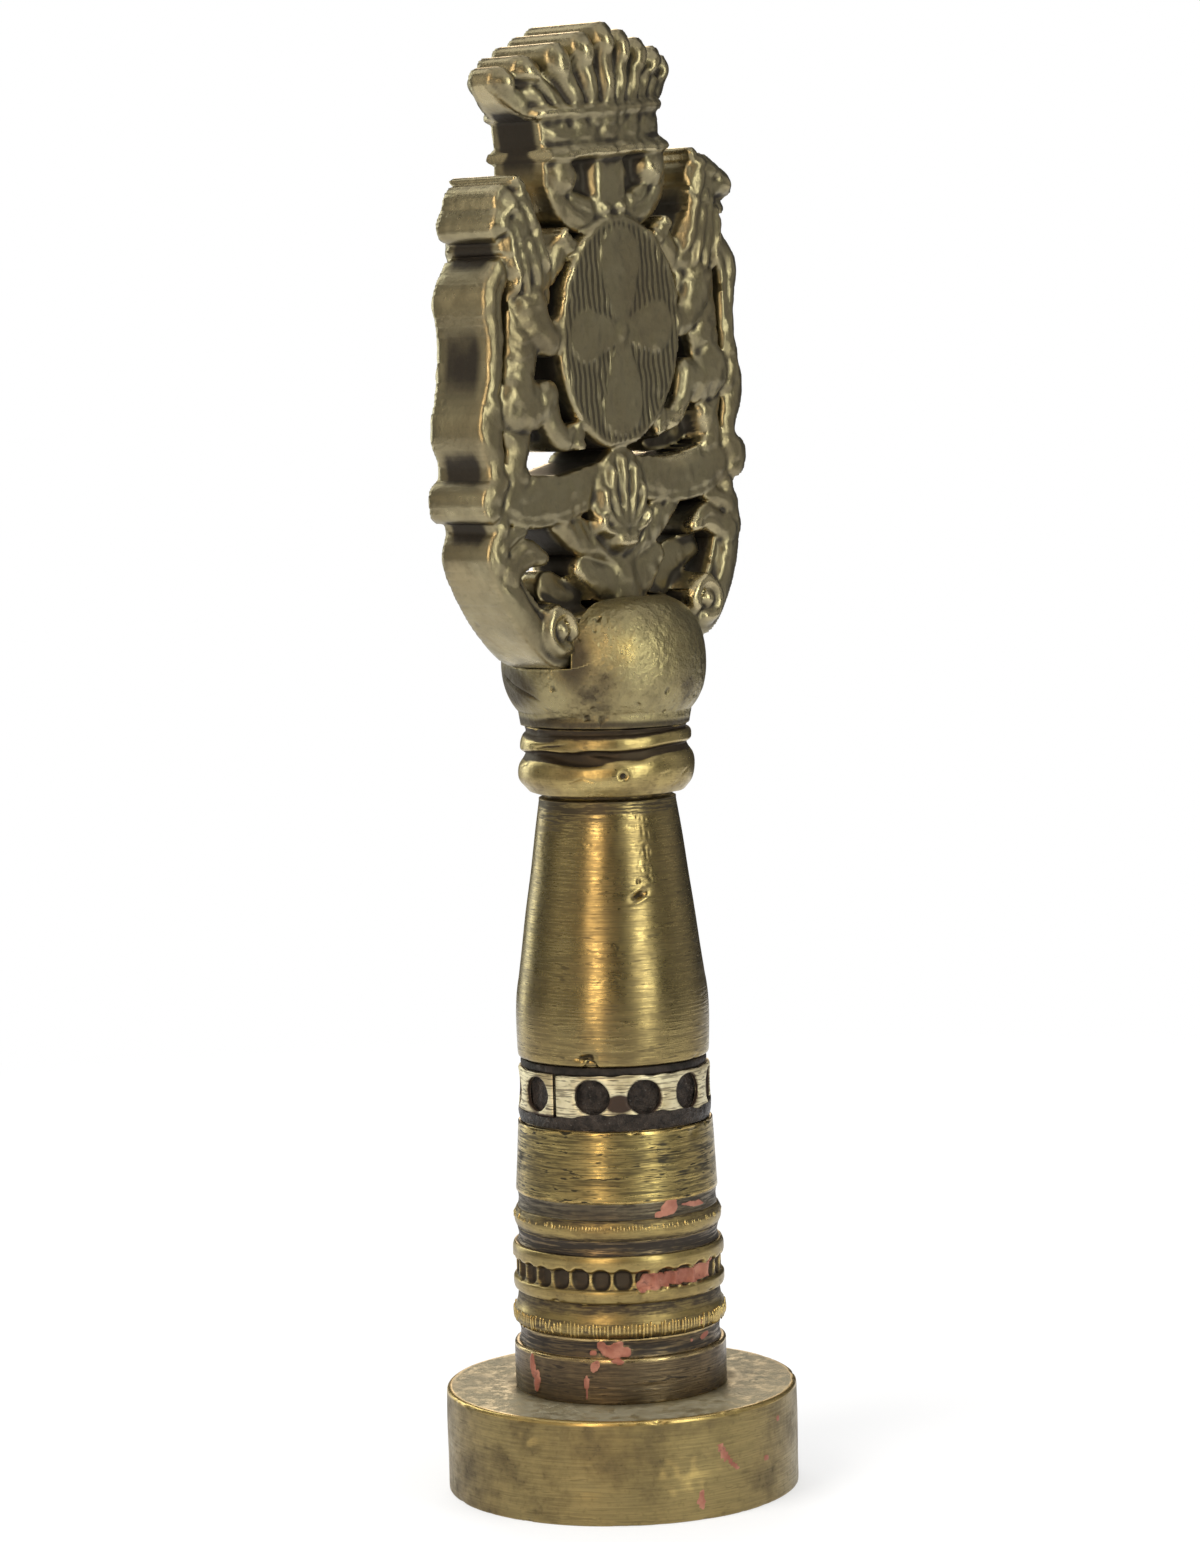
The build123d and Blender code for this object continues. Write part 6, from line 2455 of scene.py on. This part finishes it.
    def shell_drop(self, r: Relief) -> None:
        """Ribbed shell that hangs under the shield.

        Args:
            r: the relief.
        """
        r.oval((0.0, 11.2), (2.8, 3.6), 2.75, 0.5, 0.35, 0.6)
        for k in range(-3, 4):
            turn = math.radians(90 + 26 * k)
            reach = 3.1 - 0.12 * abs(k)
            c, s = math.cos(turn), math.sin(turn)
            rib = [(0.2 * c, 8.9 + 0.2 * s, 0.25), (0.8 * reach * c, 9.0 + 0.95 * reach * s, 0.42),
                   (0.86 * reach * c, 9.3 + 1.45 * reach * s, 0.5)]
            r.stroke(rib, 3.1, 0.45, 0.3, mirrored=False, outline=False)
        r.stroke([(-0.7, 8.6, 0.6), (0.7, 8.6, 0.6)], 3.1, 0.5, 0.25, mirrored=False)


# Studio


@dataclass(frozen=True)
class Panel:
    """A soft panel of the tent: degrees right of the front, spread in degrees, strength and colour."""

    turn: float
    spread: float
    strength: float
    colour: Colour


@dataclass(frozen=True)
class SoftBox:
    """A square soft box.

    Args:
        name: its name.
        turn: its place, in degrees right of the front.
        height: its height.
        away: its distance from the axis.
        width: its width.
        power: its power in watts.
        colour: its colour.
    """

    name: str
    turn: float
    height: float
    away: float
    width: float
    power: float
    colour: Colour = WHITE

    def hang(self, aim: float) -> None:
        """Hangs the box where only its light shows, not its reflection.

        Args:
            aim: height that it points at.
        """
        data = bpy.data.lights.new(self.name, "AREA")
        data.shape = "RECTANGLE"
        data.size = self.width * MM
        data.size_y = self.width * MM
        data.energy = self.power
        data.color = self.colour
        lamp = add_object(self.name, data)
        turn = polar_of(self.turn)
        place = Vector((math.cos(turn) * self.away, math.sin(turn) * self.away, self.height))
        look = (Vector((0.0, 0.0, aim)) - place).to_track_quat("-Z", "Y").to_matrix().to_4x4()
        lamp.matrix_world = Matrix.Translation(place * MM) @ look
        lamp.visible_camera = False
        lamp.visible_glossy = False


@dataclass
class Studio:
    """Camera, floor, lamps and the tent that the metal reflects."""

    image: tuple[int, int] = (1200, 1542)
    distance: float = 290.0
    eye: float = 75.7
    aim: float = 48.9
    side: float = -0.46
    roll: float = 1.4
    focal_pixels: float = 4311.0
    sensor: float = 36.0
    floor_half: float = 1.5
    floor_glow: float = 0.55
    sky: float = 0.6
    lamp_aim: float = 40.0
    tent_radius: float = 235.0
    tent_foot: float = 0.5
    tent_top: float = 330.0
    tent_dim: float = 0.05
    panels: Sequence[Panel] = (
        Panel(-20.6, 5.0, 11.0, (1.0, 0.79, 0.54)),
        Panel(41.0, 7.5, 8.4, (0.98, 1.0, 0.87)),
        Panel(-68.0, 26.0, 0.65, (1.0, 0.95, 0.84)),
        Panel(102.0, 22.0, 0.5, (1.0, 0.98, 0.94)),
        Panel(181.0, 6.0, 6.0, (1.0, 0.82, 0.58)),
        Panel(226.0, 9.0, 4.5, (0.97, 1.0, 0.88)),
    )
    lamps: Sequence[SoftBox] = (
        SoftBox("key_box", -48.0, 330.0, 320.0, 220.0, 1.1, (1.0, 0.97, 0.92)),
        SoftBox("fill_box", 62.0, 240.0, 380.0, 240.0, 0.55),
        SoftBox("back_box", 190.0, 330.0, 340.0, 240.0, 0.6),
    )

    def build(self) -> None:
        """Sets up the whole studio."""
        self.view()
        self.floor()
        self.world()
        for lamp in self.lamps:
            lamp.hang(self.lamp_aim)
        self.tent()

    def view(self) -> None:
        """Places the camera as in the photograph."""
        data = bpy.data.cameras.new("photo_camera")
        data.sensor_fit = "AUTO"
        data.sensor_width = self.sensor
        data.lens = self.focal_pixels / max(self.image) * self.sensor
        data.clip_start = 0.01
        camera = add_object("photo_camera", data)
        front = polar_of(0.0)
        right = Vector((-math.sin(front), math.cos(front), 0.0))
        eye = Vector((math.cos(front), math.sin(front), 0.0)) * self.distance + right * self.side
        eye.z = self.eye
        aim = right * self.side
        aim.z = self.aim
        turn = (aim - eye).to_track_quat("-Z", "Y").to_matrix().to_4x4()
        spin = Matrix.Rotation(math.radians(self.roll), 4, "Z").inverted()
        camera.matrix_world = Matrix.Translation(eye * MM) @ turn @ spin
        bpy.context.scene.camera = camera

    def floor(self) -> None:
        """Lays a pale floor that reads as white away from the object and keeps its soft shadow."""
        half = self.floor_half
        mesh = bpy.data.meshes.new("floor")
        corners = [(-half, -half, 0), (half, -half, 0), (half, half, 0), (-half, half, 0)]
        mesh.from_pydata(corners, [], [(0, 1, 2, 3)])
        floor = add_object("floor", mesh)
        material, wire = new_material("pale_floor")
        far = wire.remap(wire.vector("LENGTH", {0: wire.place()}, "Value"), 0.05, 0.2)
        seen = self.seen(wire)
        shown = wire.mix(far, (1 - self.floor_glow,) * 3, (0.0, 0.0, 0.0))
        wire.surface({
            "Base Color": wire.mix(seen, (0.86, 0.86, 0.85), shown),
            "Roughness": 0.9,
            "Specular IOR Level": 0.0,
            "Emission Color": WHITE,
            "Emission Strength": wire.times(seen, wire.remap(far, 0.0, 1.0, self.floor_glow, 1.0)),
        })
        mesh.materials.append(material)

    def seen(self, wire: Wiring) -> Socket:
        """Tells the rays that show the background from those that only light the object.

        Args:
            wire: the wiring of the floor or the world.

        Returns:
            1 for rays to the camera, in a reflection or through glass, and 0 for the rest.
        """
        path = wire.node("ShaderNodeLightPath").outputs
        seen = wire.larger(path["Is Camera Ray"], path["Is Glossy Ray"])
        return wire.larger(seen, path["Is Transmission Ray"])

    def world(self) -> None:
        """White for what the camera and shiny surfaces see, and a soft even light for the rest."""
        world = bpy.data.worlds.new("studio")
        world.use_nodes = True
        bpy.context.scene.world = world
        wire = Wiring(world.node_tree)
        shown = world.node_tree.nodes["Background"].inputs
        wire.set(shown["Color"], WHITE)
        wire.set(shown["Strength"], wire.remap(self.seen(wire), 0.0, 1.0, self.sky, 1.0))

    def tent(self) -> None:
        """Stands a dim tent with soft panels round the object, which only its reflections show."""
        columns, rows = 240, 14
        turns = np.linspace(-180.0, 180.0, columns, endpoint=False)
        heights = np.linspace(0.0, 1.0, rows)
        glow = np.full((columns, 3), self.tent_dim)
        for panel in self.panels:
            away = np.mod(turns - panel.turn + 180.0, 360.0) - 180.0
            glow += panel.strength * bell(away, panel.spread)[:, None] * np.array(panel.colour)
        angles = np.radians(turns + FRONT_POLAR)
        ring = np.stack([np.cos(angles), np.sin(angles)], axis=1) * self.tent_radius * MM
        points = [(x, y, (self.tent_foot + h * self.tent_top) * MM) for h in heights for x, y in ring]
        shares = 0.55 + 0.45 * ease(heights, 0.0, 0.3) - 0.75 * ease(heights, 0.6, 1.0)
        colours = np.concatenate([np.column_stack([glow * share, np.ones(columns)]) for share in shares])
        mesh = bpy.data.meshes.new("soft_tent")
        mesh.from_pydata(points, [], tube_faces(rows, columns, Ends.OPEN))
        layer = mesh.attributes.new("glow", "FLOAT_COLOR", "POINT")
        layer.data.foreach_set("color", colours.astype(np.float32).reshape(-1))
        material, wire = new_material("soft_tent")
        nodes = wire.tree.nodes
        nodes.remove(nodes["Principled BSDF"])
        shine = wire.out("ShaderNodeAttribute", output="Color", attribute_name="glow")
        wire.set(nodes["Material Output"].inputs["Surface"], wire.out("ShaderNodeEmission", {"Color": shine}))
        material.cycles.emission_sampling = "NONE"
        mesh.materials.append(material)
        tent = add_object("soft_tent", mesh)
        tent.visible_camera = False
        tent.visible_diffuse = False
        tent.visible_shadow = False
        tent.visible_transmission = False


def main() -> None:
    """Builds the stamp and its studio."""
    logging.basicConfig(level=logging.INFO, format="%(message)s")
    bpy.context.scene.view_settings.view_transform = "Standard"
    effects = Effects()
    finishes = {finish.name: finish.build(effects) for finish in FINISHES}
    milling, thread = MillingTree(), ThreadTree()
    for assembly in (SealDie, RingStack, PiercedBand, ScrewStud, Grip, Finial):
        assembly(finishes, milling, thread).build()
    Studio().build()


if __name__ == "__main__":
    main()
